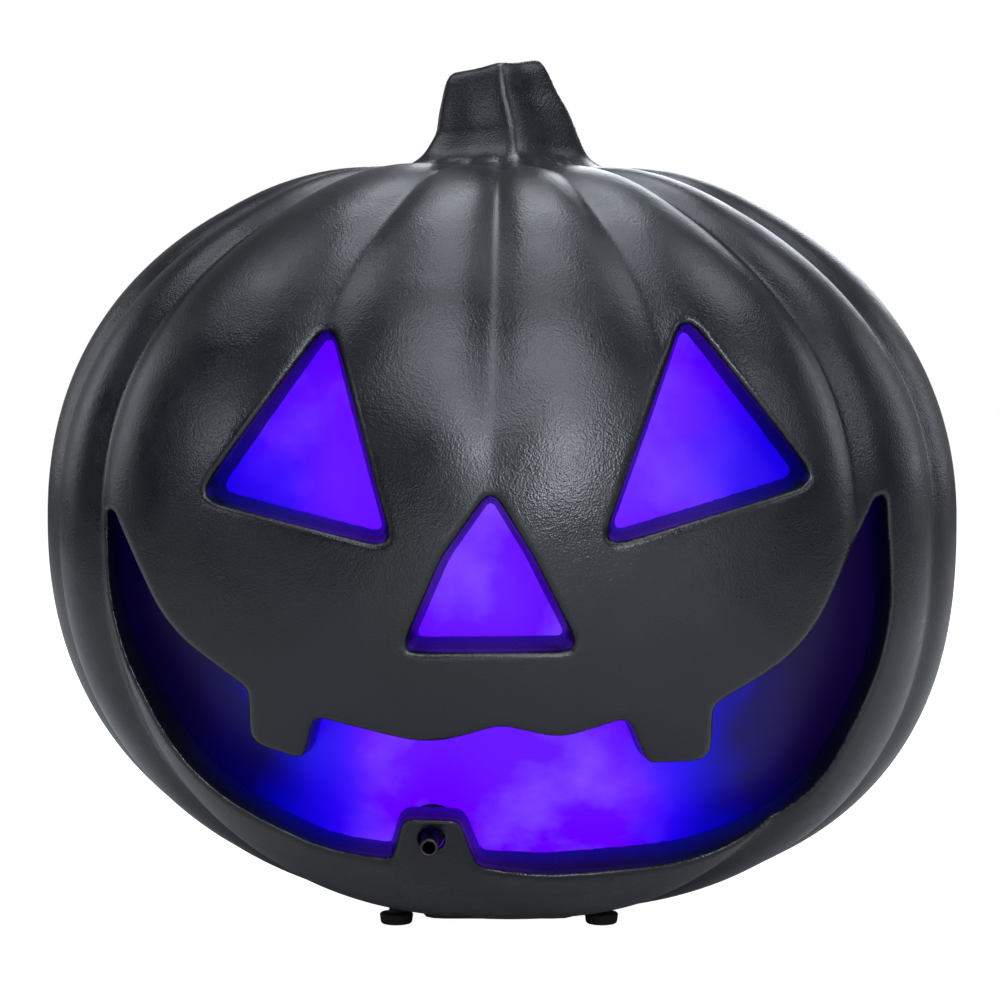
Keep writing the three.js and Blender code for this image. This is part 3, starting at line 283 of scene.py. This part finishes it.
def front_half(x, y, z):
    outer = outer_skin(x, y, z)
    face = face_y(x, z)
    depth = y - face
    share = np.clip(depth / RETURN_DEPTH, -0.6, 1.4)
    solid = outer
    band = np.inf
    for corners, draft in OPENINGS:
        near = outline_distance(rounded(corners), x, z)
        deep = outline_distance(rounded(corners, -draft, 1.0), x, z)
        hole = near + (deep - near) * share
        solid = round_max(solid, -hole, LIP)
        band = np.minimum(band, np.maximum(hole - RETURN_WALL, depth - RETURN_DEPTH))
    void = np.minimum(-(outer + WALL), band)
    bosses = np.maximum(seam_bosses(x, y, z, -14, 1), outer + 0.6)
    shell = np.minimum(np.maximum(solid, void), np.minimum(bosses, np.maximum(floor_bosses(x, y, z), outer)))
    for screw in SHELL_SCREWS:
        shell = np.maximum(shell, -np.maximum(circle(x, z, screw, 1.7), -12 - y))
    shell = round_max(shell, -np.maximum(circle(x, z, PORT[:2], PORT[2]), y + 60), 0.9)
    shell = np.maximum(shell, -floor_holes(x, y, z))
    return round_max(shell, y + SEAM_GAP / 2, 0.5)


def rear_half(x, y, z):
    outer = outer_skin(x, y, z)
    outside = round_max(outer, y - REAR_FLAT, 2.5)
    lining = np.maximum(outer + WALL, y - REAR_FLAT + WALL)
    shell = np.maximum(outside, -lining)
    well = np.maximum(circle(x, y, (0, FILLER_Y), FILLER_WELL + WALL), FILLER_FLOOR - WALL - z)
    ledge = np.maximum(rectangle(x, z, PANEL, 3), REAR_FLAT - WALL - PANEL_WALL - 1 - y)
    extras = [np.maximum(extra, outside) for extra in (well, ledge, floor_bosses(x, y, z))]
    extras.append(np.maximum(seam_bosses(x, y, z, -1, 60), outer + 0.6))
    shell = np.minimum.reduce(np.broadcast_arrays(shell, *extras))
    shell = round_max(shell, -np.maximum(circle(x, y, (0, FILLER_Y), FILLER_WELL), FILLER_FLOOR - z), 1.2)
    neck = np.maximum(circle(x, y, (0, FILLER_Y), FILLER_NECK + 0.6), between(z, 165, 190))
    recess = np.maximum(rectangle(x, z, PANEL, FIT_GAP), REAR_FLAT - PANEL_WALL - FIT_GAP - y)
    window = np.maximum(rectangle(x, z, PANEL, -PANEL_LEDGE), REAR_FLAT - 20 - y)
    shell = np.maximum.reduce(np.broadcast_arrays(shell, -neck, -window))
    shell = round_max(shell, -recess, 0.4)
    for vent in VENTS:
        shell = round_max(shell, -np.maximum(rectangle(x, z, vent), REAR_FLAT - 8 - y), 0.5)
    for screw in SHELL_SCREWS:
        shell = np.maximum(shell, -circle(x, z, screw, 1.7))
        shell = round_max(shell, -np.maximum(circle(x, z, screw, 3.4), 8 - y), 0.5)
    for px in (PANEL[0] + PANEL_INSET, PANEL[2] - PANEL_INSET):
        for pz in (PANEL[1] + PANEL_INSET, PANEL[3] - PANEL_INSET):
            shell = np.maximum(shell, -np.maximum(circle(x, z, (px, pz), 1.3), REAR_FLAT - 20 - y))
    shell = np.maximum(shell, -floor_holes(x, y, z))
    return round_max(shell, SEAM_GAP / 2 - y, 0.5)


# ---- meshes from distances ----------------------------------------------------------------------


def surface(field, low, high, step):
    """Vertices and quads where the sampled field changes sign, by surface nets."""
    axes = [np.arange(lo, hi + step, step) for lo, hi in zip(low, high)]
    x, y, z = axes[0][:, None, None], axes[1][None, :, None], axes[2][None, None, :]
    shape = [len(a) for a in axes]
    values = np.broadcast_to(field(x, y, z), shape).astype(np.float32)
    inside = values < 0
    count = np.zeros([n - 1 for n in shape], np.uint8)
    for i in (0, 1):
        for j in (0, 1):
            for k in (0, 1):
                count += inside[i : shape[0] - 1 + i, j : shape[1] - 1 + j, k : shape[2] - 1 + k]
    cells = np.argwhere((count > 0) & (count < 8))
    index = np.full(count.shape, -1, np.int64)
    index[tuple(cells.T)] = np.arange(len(cells))
    total, hits = np.zeros((len(cells), 3)), np.zeros(len(cells))
    for axis in range(3):
        unit = np.eye(3, dtype=int)[axis]
        for offset in np.ndindex(2, 2, 2):
            if offset[axis]:
                continue
            start = values[tuple((cells + offset).T)]
            end = values[tuple((cells + offset + unit).T)]
            crossing = (start < 0) != (end < 0)
            t = start[crossing] / (start[crossing] - end[crossing])
            total[crossing] += np.array(offset) + t[:, None] * unit
            hits += crossing
    points = np.array(low) + step * (cells + total / hits[:, None])
    quads = []
    for axis in range(3):
        u, v = (axis + 1) % 3, (axis + 2) % 3
        lead = np.take(inside, range(shape[axis] - 1), axis)
        trail = np.take(inside, range(1, shape[axis]), axis)
        edges = np.argwhere(lead != trail)
        edges = edges[(edges[:, u] > 0) & (edges[:, v] > 0)]
        edges = edges[(edges[:, u] < shape[u] - 1) & (edges[:, v] < shape[v] - 1)]
        back_u, back_v = np.eye(3, dtype=int)[u], np.eye(3, dtype=int)[v]
        loop = [edges - back_u - back_v, edges - back_v, edges, edges - back_u]
        quad = np.stack([index[tuple(c.T)] for c in loop], 1)
        outward = lead[tuple(edges.T)]
        quads.append(np.where(outward[:, None], quad, quad[:, ::-1]))
    return points, np.concatenate(quads), (values, np.array(low), step)


def sample(grid, points):
    """The sampled field at any points, between its samples."""
    values, low, step = grid
    place = (points - low) / step
    place = np.clip(place, 0, np.array(values.shape) - 1.001)
    base = place.astype(int)
    part = place - base
    result = np.zeros(len(points))
    for offset in np.ndindex(2, 2, 2):
        weight = np.prod(np.where(offset, part, 1 - part), axis=1)
        result += weight * values[tuple((base + offset).T)]
    return result


def slope_at(grid, points):
    """The field's unit gradient at points, which is the surface's normal."""
    reach = grid[2] * 0.5
    rise = [sample(grid, points + reach * e) - sample(grid, points - reach * e) for e in np.eye(3)]
    normal = np.stack(rise, 1)
    return normal / (np.linalg.norm(normal, axis=1, keepdims=True) + 1e-12)


def mesh_from(name, points, faces):
    mesh = bpy.data.meshes.new(name)
    mesh.vertices.add(len(points))
    mesh.vertices.foreach_set("co", np.asarray(points, np.float32).ravel())
    sides = faces.shape[1]
    mesh.loops.add(faces.size)
    mesh.loops.foreach_set("vertex_index", faces.ravel().astype(np.int32))
    mesh.polygons.add(len(faces))
    mesh.polygons.foreach_set("loop_start", np.arange(0, faces.size, sides, dtype=np.int32))
    mesh.update(calc_edges=True)
    return mesh


def coordinates(mesh):
    flat = np.zeros(len(mesh.vertices) * 3, np.float32)
    mesh.vertices.foreach_get("co", flat)
    return flat.reshape(-1, 3).astype(float)


def applied(piece):
    """Makes the result of a piece's modifiers its own mesh."""
    shown = piece.evaluated_get(bpy.context.evaluated_depsgraph_get())
    mesh = bpy.data.meshes.new_from_object(shown)
    piece.modifiers.clear()
    piece.data = mesh
    return piece


def new_piece(name, mesh):
    piece = bpy.data.objects.new(name, mesh)
    bpy.context.scene.collection.objects.link(piece)
    return piece


def shell_piece(name, node, field, low, high, faces_wanted):
    step = 1.1
    points, quads, grid = surface(field, low, high, step)
    for _ in range(2):
        points -= (sample(grid, points)[:, None] * slope_at(grid, points)).clip(-0.3, 0.3)
    piece = new_piece(name, mesh_from(name, points, quads))
    if len(quads) * 2 > faces_wanted:
        thin = piece.modifiers.new("thin", "DECIMATE")
        thin.ratio = faces_wanted / (len(quads) * 2)
        applied(piece)
    points = coordinates(piece.data)
    normals = slope_at(grid, points)
    below = outer_skin(*points.T) < -0.9
    depth = np.where(below, points[:, 1] - face_y(points[:, 0], points[:, 2]), 0)
    piece.data.vertices.foreach_set("co", (points * MM + ORIGIN).astype(np.float32).ravel())
    piece.data.update()
    for face in piece.data.polygons:
        face.use_smooth = True
    piece.data.normals_split_custom_set_from_vertices([tuple(n) for n in normals])
    deep = piece.data.attributes.new("deep", "FLOAT", "POINT")
    deep.data.foreach_set("value", (depth / RETURN_DEPTH).astype(np.float32))
    return dress(piece, node)


def dress(piece, *nodes):
    """The piece stands for CAD nodes: it rides with them and takes their finish."""
    slot = SLOT_OF[nodes[0]]
    piece.data.materials.clear()
    piece.data.materials.append(MATERIALS[slot])
    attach(piece, BODY_OF[nodes[0]])
    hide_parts(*nodes)
    return piece


def refined(node, bevel=0.4, segments=3):
    """A copy of a CAD node's solid with rounded edges."""
    piece = new_piece(node + "_fine", frame["nodes"][node].data.copy())
    solid = bmesh.new()
    solid.from_mesh(piece.data)
    bmesh.ops.remove_doubles(solid, verts=solid.verts, dist=2e-6)
    bmesh.ops.dissolve_limit(solid, angle_limit=math.radians(1), verts=solid.verts, edges=solid.edges)
    solid.to_mesh(piece.data)
    solid.free()
    piece.data.validate()
    edge = piece.modifiers.new("edge", "BEVEL")
    edge.width = bevel * MM
    edge.segments = segments
    edge.limit_method = "ANGLE"
    edge.angle_limit = math.radians(32)
    edge.harden_normals = False
    edge.use_clamp_overlap = True
    for face in piece.data.polygons:
        face.use_smooth = True
    applied(piece)
    piece.data.set_sharp_from_angle(angle=math.radians(40))
    return dress(piece, node)


# ---- materials ----------------------------------------------------------------------------------


class Surface:
    """A Principled material whose textures follow the object's own coordinates, in metres."""

    def __init__(self, name, color, roughness, metallic=0.0):
        self.material = bpy.data.materials.new(name)
        self.material.use_nodes = True
        self.tree = self.material.node_tree
        self.bsdf = self.tree.nodes["Principled BSDF"]
        self.bsdf.inputs["Base Color"].default_value = (*color[:3], 1)
        self.bsdf.inputs["Roughness"].default_value = roughness
        self.bsdf.inputs["Metallic"].default_value = metallic
        self.color, self.roughness = color, roughness
        self.place = self.node("ShaderNodeTexCoord").outputs["Object"]

    def node(self, kind, links=(), **values):
        made = self.tree.nodes.new(kind)
        for key, value in values.items():
            if hasattr(made, key):
                setattr(made, key, value)
            else:
                made.inputs[key.replace("_", " ").title()].default_value = value
        for socket, source in dict(links).items():
            self.tree.links.new(source, made.inputs[socket])
        return made

    def link(self, source, socket):
        self.tree.links.new(source, self.bsdf.inputs[socket])

    def noise(self, size_mm, detail=3.0, stretch=(1, 1, 1)):
        place = self.place
        if stretch != (1, 1, 1):
            mapping = self.node("ShaderNodeMapping", {"Vector": place})
            mapping.inputs["Scale"].default_value = stretch
            place = mapping.outputs["Vector"]
        made = self.node("ShaderNodeTexNoise", {"Vector": place}, scale=1000 / size_mm, detail=detail)
        return made.outputs["Fac"]

    def cells(self, size_mm):
        made = self.node("ShaderNodeTexVoronoi", {"Vector": self.place}, feature="SMOOTH_F1")
        made.inputs["Scale"].default_value = 1000 / size_mm
        made.inputs["Smoothness"].default_value = 0.6
        return made.outputs["Distance"]

    def span(self, source, low, high, start=0.3, end=0.7):
        made = self.node("ShaderNodeMapRange", {"Value": source})
        made.inputs["From Min"].default_value = start
        made.inputs["From Max"].default_value = end
        made.inputs["To Min"].default_value = low
        made.inputs["To Max"].default_value = high
        return made.outputs["Result"]

    def math(self, operation, a, b):
        made = self.node("ShaderNodeMath", operation=operation)
        for socket, value in zip(made.inputs, (a, b)):
            if isinstance(value, (int, float)):
                socket.default_value = value
            else:
                self.tree.links.new(value, socket)
        return made.outputs[0]

    def mix(self, factor, first, second):
        made = self.node("ShaderNodeMix", data_type="RGBA")
        for name, value in (("Factor", factor), ("A", first), ("B", second)):
            socket = next(s for s in made.inputs if s.name == name and s.enabled)
            if isinstance(value, (int, float)):
                socket.default_value = value
            elif isinstance(value, tuple):
                socket.default_value = (*value[:3], 1)
            else:
                self.tree.links.new(value, socket)
        return next(s for s in made.outputs if s.enabled)

    def bump(self, *layers):
        """Layers are (height, depth in millimetres), from the coarsest."""
        normal = None
        for height, depth in layers:
            made = self.node("ShaderNodeBump", {"Height": height})
            made.inputs["Strength"].default_value = 1.0
            made.inputs["Distance"].default_value = depth * MM
            if normal is not None:
                self.tree.links.new(normal, made.inputs["Normal"])
            normal = made.outputs["Normal"]
        self.link(normal, "Normal")

    def vary(self, size_mm=25.0, amount=0.25, rough=0.05):
        """Slow changes of colour and roughness, as handling and moulding leave them."""
        cloud = self.noise(size_mm, 4)
        dark = tuple(c * (1 - amount) for c in self.color[:3])
        light = tuple(min(1, c * (1 + amount)) for c in self.color[:3])
        self.link(self.mix(self.span(cloud, 0, 1), dark, light), "Base Color")
        fine = self.noise(size_mm / 7, 3)
        low, high = self.roughness - rough, self.roughness + rough
        self.link(self.span(fine, low, high), "Roughness")


def moulded(name, color, roughness, grain_mm, grain_depth):
    made = Surface(name, color, roughness)
    made.vary()
    made.bump((made.noise(40, 2), 0.15), (made.noise(grain_mm, 2), grain_depth))
    return made.material


def metal(name, color, roughness, stretch, depth=0.004):
    made = Surface(name, color, roughness, 1.0)
    made.vary(12, 0.12, 0.06)
    made.bump((made.noise(1.2, 4, stretch), depth))
    return made.material


def shell_black():
    """Black moulded plastic with a fine leather grain. The openings' walls carry a painted blue glow,
    standing for the light from within falling on them.
    """
    made = Surface("shell_black", (0.005, 0.0055, 0.0075), 0.31)
    made.bsdf.inputs["Specular IOR Level"].default_value = 0.5
    cloud = made.span(made.noise(38, 5), 0, 1, 0.35, 0.65)
    made.link(made.mix(cloud, (0.0035, 0.004, 0.0058), (0.0065, 0.007, 0.0098)), "Base Color")
    grain = made.cells(0.5)
    pebble = made.noise(0.9, 3)
    made.link(made.span(made.noise(16, 4), 0.25, 0.37), "Roughness")
    made.bump((made.noise(80, 2), 2.6), (made.noise(30, 3), 0.55), (pebble, 0.06), (grain, 0.05))
    # Painted light: blue emission on the openings' walls, strongest deep in and fading towards the sides,
    # stands for the diffuser's light falling on them.
    deep = made.node("ShaderNodeAttribute", attribute_name="deep").outputs["Fac"]
    glow_depth = made.math("MULTIPLY", made.span(deep, 0, 1, 0.3, 0.9), made.span(deep, 1, 0, 1.02, 1.06))
    sides = made.math("ABSOLUTE", made.node("ShaderNodeSeparateXYZ", {"Vector": made.place}).outputs["X"], 0)
    painted_glow = made.math("MULTIPLY", glow_depth, made.span(sides, 1, 0.04, 0.045, 0.085))
    made.link(made.mix(painted_glow, (0, 0, 0), (0.0, 0.0, 0.17)), "Emission Color")
    made.link(made.span(deep, 0.5, 0.06, 0.04, 0.3), "Specular IOR Level")
    made.bsdf.inputs["Emission Strength"].default_value = 1.0
    return made.material


def violet_diffuser():
    """A translucent sheet lit from behind: violet in the middle, blue and then navy to the sides."""
    made = Surface("violet_diffuser", (0.006, 0.0, 0.03), 0.5)
    made.bsdf.inputs["Specular IOR Level"].default_value = 0.25
    # Painted light: the emission below is the glow of the lamps behind the sheet, violet in the middle and
    # fading to navy and near black towards the sides, with painted brighter puffs of that light.
    split = made.node("ShaderNodeSeparateXYZ", {"Vector": made.place})
    wander = made.span(made.noise(32, 4), -0.007, 0.007)
    spread = made.span(split.outputs["Z"], 1.38, 1.0, 0.1, 0.12)
    sideways = made.math("ABSOLUTE", split.outputs["X"], 0)
    across = made.math("ADD", made.math("MULTIPLY", sideways, spread), wander)
    ramp = made.node("ShaderNodeValToRGB", {"Fac": made.span(across, 0, 1, 0.0, 0.12)})
    stops = [
        (0.0, (0.13, 0.0, 1.0)), (0.38, (0.12, 0.0, 1.0)), (0.5, (0.035, 0.0, 0.95)),
        (0.58, (0.01, 0.0, 0.8)), (0.67, (0.0, 0.0, 0.45)), (0.77, (0.0, 0.0, 0.08)),
        (0.9, (0.0, 0.0, 0.02)), (1.0, (0.0, 0.0, 0.01)),
    ]
    ramp.color_ramp.elements[0].color = (*stops[0][1], 1)
    ramp.color_ramp.elements[1].color = (*stops[-1][1], 1)
    for position, color in stops[1:-1]:
        ramp.color_ramp.elements.new(position).color = (*color, 1)
    puffs, middle = made.span(made.noise(26, 5), 0, 0.75, 0.48, 0.72), made.span(across, 1, 0, 0.03, 0.065)
    cloud = made.math("MULTIPLY", puffs, middle)
    made.link(made.mix(cloud, ramp.outputs["Color"], (0.24, 0.08, 1.0)), "Emission Color")
    made.bsdf.inputs["Emission Strength"].default_value = 1.0
    made.bump((made.noise(3, 3), 0.05))
    return made.material


def clear(name, color, roughness, transmission):
    made = Surface(name, color, roughness)
    made.bsdf.inputs["Transmission Weight"].default_value = transmission
    made.vary(8, 0.05, 0.03)
    made.bump((made.noise(2, 3), 0.01))
    return made.material


MATERIALS = {
    "shell_black": shell_black(),
    "violet_diffuser": violet_diffuser(),
    "black_plastic": moulded("black_plastic", (0.014, 0.014, 0.016), 0.5, 0.35, 0.03),
    "rubber": moulded("rubber", (0.01, 0.01, 0.01), 0.75, 0.6, 0.05),
    "button_rubber": moulded("button_rubber", (0.045, 0.045, 0.05), 0.6, 0.5, 0.03),
    "red_plastic": moulded("red_plastic", (0.42, 0.012, 0.008), 0.25, 6, 0.02),
    "tank_plastic": moulded("tank_plastic", (0.7, 0.73, 0.68), 0.4, 1.5, 0.03),
    "hose": clear("hose", (0.65, 0.7, 0.72), 0.15, 0.6),
    "steel": metal("steel", (0.55, 0.57, 0.58), 0.32, (1, 1, 12)),
    "nickel_pin": metal("nickel_pin", (0.7, 0.68, 0.62), 0.18, (1, 10, 1)),
    "brass": metal("brass", (0.6, 0.45, 0.18), 0.3, (1, 12, 1)),
    "dark_brass": metal("dark_brass", (0.05, 0.045, 0.04), 0.38, (1, 12, 1)),
    "copper": metal("copper", (0.6, 0.27, 0.14), 0.3, (1, 10, 1)),
    "aluminium": metal("aluminium", (0.6, 0.61, 0.62), 0.45, (1, 1, 1), 0.03),
    "insulation": moulded("insulation", (0.7, 0.64, 0.5), 0.95, 0.8, 0.2),
    "board": moulded("board", (0.01, 0.12, 0.05), 0.35, 2, 0.02),
    "transformer": moulded("transformer", (0.5, 0.38, 0.06), 0.35, 1, 0.05),
    "led_clear": clear("led_clear", (0.8, 0.78, 0.95), 0.08, 0.9),
    "fuse_glass": clear("fuse_glass", (0.85, 0.87, 0.85), 0.05, 0.9),
}

for node, piece in frame["nodes"].items():
    piece.data.materials.clear()
    piece.data.materials.append(MATERIALS[SLOT_OF[node]])

# ---- pieces -------------------------------------------------------------------------------------

shell_piece("front_shell_fine", "front_shell", front_half, (-134, -113, -1), (134, 1, 247), 170000)
shell_piece("rear_shell_fine", "rear_shell", rear_half, (-134, -1, -1), (134, 89, 247), 150000)


def diffuser_sheet():
    """A curved sheet that follows the face, behind the openings' walls, with the nozzle's hole."""
    half_width, top, bottom, squareness, gap, wall = 113.0, 182.0, 22.5, 3.0, 0.8, 2.0
    sides, rows = 160, 36
    angle = np.linspace(0, 2 * np.pi, sides, endpoint=False)

    def bulge(value):
        return np.sign(value) * np.abs(value) ** (2 / squareness)

    def layer(share, depth):
        x = half_width * share * bulge(np.cos(angle))
        up = share * bulge(np.sin(angle))
        z = EQUATOR_Z + up * np.where(up > 0, top - EQUATOR_Z, EQUATOR_Z - bottom)
        return np.stack([x, face_y(x, z) + depth, z], 1)

    near, far = RETURN_DEPTH + gap, RETURN_DEPTH + gap + wall
    shares = np.linspace(1, 0.02, rows)
    rim = [layer(1 - 0.002, near + 0.15)] + [layer(1.0, near + t * wall) for t in (0.3, 0.7)]
    rings = [layer(s, near) for s in shares[::-1] * 0.996] + rim + [layer(s, far) for s in shares * 0.996]
    points = np.concatenate(rings)
    faces = []
    for ring in range(len(rings) - 1):
        for side in range(sides):
            after = (side + 1) % sides
            a, b = ring * sides, (ring + 1) * sides
            faces.append((a + side, b + side, b + after, a + after))
    mesh = bpy.data.meshes.new("diffuser_fine")
    centre = len(points)
    middle = face_y(np.array([0.0]), np.array([EQUATOR_Z]))[0]
    points = np.concatenate([points, [[0, middle + near, EQUATOR_Z], [0, middle + far, EQUATOR_Z]]])
    last = (len(rings) - 1) * sides
    for side in range(sides):
        after = (side + 1) % sides
        faces.append((centre, side, after))
        faces.append((centre + 1, last + after, last + side))
    mesh.from_pydata([tuple(p) for p in points * MM + ORIGIN], [], faces)
    mesh.update()
    piece = new_piece("diffuser_fine", mesh)
    cutter_mesh = bpy.data.meshes.new("port_cutter")
    tool = bmesh.new()
    radius, length = CUTTER_RADIUS * MM, CUTTER_LENGTH * MM
    bmesh.ops.create_cone(tool, cap_ends=True, segments=48, radius1=radius, radius2=radius, depth=length)
    bmesh.ops.rotate(tool, verts=tool.verts, matrix=Matrix.Rotation(math.pi / 2, 3, "X"))
    bmesh.ops.translate(tool, verts=tool.verts, vec=Vector(ORIGIN) + Vector(CUTTER_MIDDLE) * MM)
    tool.to_mesh(cutter_mesh)
    tool.free()
    cutter = new_piece("port_cutter", cutter_mesh)
    hole = piece.modifiers.new("hole", "BOOLEAN")
    hole.operation, hole.solver, hole.object = "DIFFERENCE", "EXACT", cutter
    applied(piece)
    bpy.data.objects.remove(cutter)
    for face in piece.data.polygons:
        face.use_smooth = True
    piece.data.set_sharp_from_angle(angle=math.radians(45))
    return dress(piece, "diffuser_panel")


diffuser_sheet()

FINE = {
    "base_plate": 0.6, "control_panel": 0.5, "mains_inlet": 0.45, "fuse_drawer": 0.4, "switch_bezel": 0.5,
    "switch_rocker": 0.4, "fog_button": 0.35, "light_button": 0.35, "ready_lamp": 0.4, "filler_cap": 0.5,
    "cap_seal": 0.3, "fluid_tank": 1.2, "nozzle": 0.25, "heater_insulation": 0.8, "heater_block": 0.6,
}
for node in [n for n in SLOT_OF if n.startswith("foot_")]:
    FINE[node] = 0.6
for node in [n for n in SLOT_OF if "_screw_" in n]:
    FINE[node] = 0.25
for node in [n for n in SLOT_OF if n.startswith("inlet_pin_")]:
    FINE[node] = 0.4
for node, bevel in FINE.items():
    refined(node, bevel)


def pump_spring():
    """A copy of the pump spring's solid, which rides with its body and takes its finish."""
    spring = new_piece("pump_spring_coil", frame["nodes"]["pump_spring"].data.copy())
    dress(spring, "pump_spring")
    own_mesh(spring)


pump_spring()

# ---- light, floor and camera --------------------------------------------------------------------

CENTRE = Vector((0, SEAM_Y, 0.119))  # what the lights and the camera face
LIGHT_COLOR = (0.86, 0.91, 1.0)


def softbox(name, azimuth, elevation, size, watts, distance=1.3):
    light = bpy.data.lights.new(name, "AREA")
    light.shape, light.size, light.size_y = "RECTANGLE", size[0], size[1]
    light.energy, light.color = watts, LIGHT_COLOR
    holder = bpy.data.objects.new(name, light)
    bpy.context.scene.collection.objects.link(holder)
    turn, lift = math.radians(azimuth), math.radians(elevation)
    away = Vector((math.sin(turn) * math.cos(lift), -math.cos(turn) * math.cos(lift), math.sin(lift)))
    holder.location = CENTRE + distance * away
    holder.rotation_euler = (-away).to_track_quat("-Z", "Y").to_euler()


# azimuth from the face, elevation, width and height in metres, watts
for name, azimuth, elevation, width, height, watts in [
    ("front_right", 14, 20, 0.3, 0.45, 7.5),
    ("front_right_high", 12, 45, 0.4, 0.5, 4.0),
    ("front_left_high", -14, 45, 0.4, 0.5, 3.6),
    ("front_low", -8, -3, 0.7, 0.3, 1.9),
    ("top", 0, 80, 0.6, 0.5, 4.5),
    ("top_rear", 180, 72, 0.6, 0.5, 5.0),
    ("high_right", 90, 55, 0.5, 0.5, 2.4),
    ("high_left", -90, 55, 0.5, 0.5, 2.4),
    ("right", 65, 25, 0.25, 0.5, 1.7),
    ("right_low", 40, -3, 0.5, 0.3, 1.1),
    ("left", -65, 18, 0.25, 0.5, 1.7),
    ("side_right", 118, 15, 0.4, 0.6, 1.2),
    ("side_left", -118, 15, 0.4, 0.6, 1.2),
    ("rear", 165, 25, 0.7, 0.6, 6.0),
]:
    softbox(name, azimuth, elevation, (width, height), watts)

floor_mesh = bpy.data.meshes.new("floor")
floor_mesh.from_pydata([(-6, -6, 0), (6, -6, 0), (6, 6, 0), (-6, 6, 0)], [], [(0, 1, 2, 3)])
floor = new_piece("floor", floor_mesh)
floor.location.z = -0.0002  # just under the feet
paper = Surface("paper", (0.55, 0.55, 0.55), 0.9)
paper.bsdf.inputs["Specular IOR Level"].default_value = 0.0
paper.bsdf.inputs["Emission Color"].default_value = (1, 1, 1, 1)
seen = paper.node("ShaderNodeLightPath").outputs["Is Camera Ray"]
paper.link(paper.span(seen, 0.0, 0.99, 0, 1), "Emission Strength")
floor.data.materials.append(paper.material)

# The world is white to the eye. As a light it is bright behind the object and dim elsewhere.
scene = bpy.context.scene
world = bpy.data.worlds.new("studio")
scene.world = world
world.use_nodes = True
tree = world.node_tree
shown, lights = tree.nodes["Background"], tree.nodes.new("ShaderNodeBackground")
shown.inputs["Color"].default_value = lights.inputs["Color"].default_value = (1, 1, 1, 1)
direction = tree.nodes.new("ShaderNodeSeparateXYZ")
tree.links.new(tree.nodes.new("ShaderNodeTexCoord").outputs["Generated"], direction.inputs["Vector"])
fade = tree.nodes.new("ShaderNodeMapRange")
tree.links.new(direction.outputs["Y"], fade.inputs["Value"])
for socket, value in {"From Min": 0.2, "From Max": 0.9, "To Min": 0.015, "To Max": 0.25}.items():
    fade.inputs[socket].default_value = value
tree.links.new(fade.outputs["Result"], lights.inputs["Strength"])
either = tree.nodes.new("ShaderNodeMixShader")
tree.links.new(tree.nodes.new("ShaderNodeLightPath").outputs["Is Camera Ray"], either.inputs["Fac"])
tree.links.new(lights.outputs["Background"], either.inputs[1])
tree.links.new(shown.outputs["Background"], either.inputs[2])
tree.links.new(either.outputs["Shader"], tree.nodes["World Output"].inputs["Surface"])
scene.view_settings.view_transform = "Standard"

DISTANCE, ELEVATION = 0.8, math.radians(3)
camera = bpy.data.objects.new("camera", bpy.data.cameras.new("camera"))
scene.collection.objects.link(camera)
camera.data.lens, camera.data.sensor_width = 100.5, 36
camera.location = CENTRE + DISTANCE * Vector((0, -math.cos(ELEVATION), math.sin(ELEVATION)))
camera.rotation_euler = (CENTRE - camera.location).to_track_quat("-Z", "Y").to_euler()
scene.camera = camera
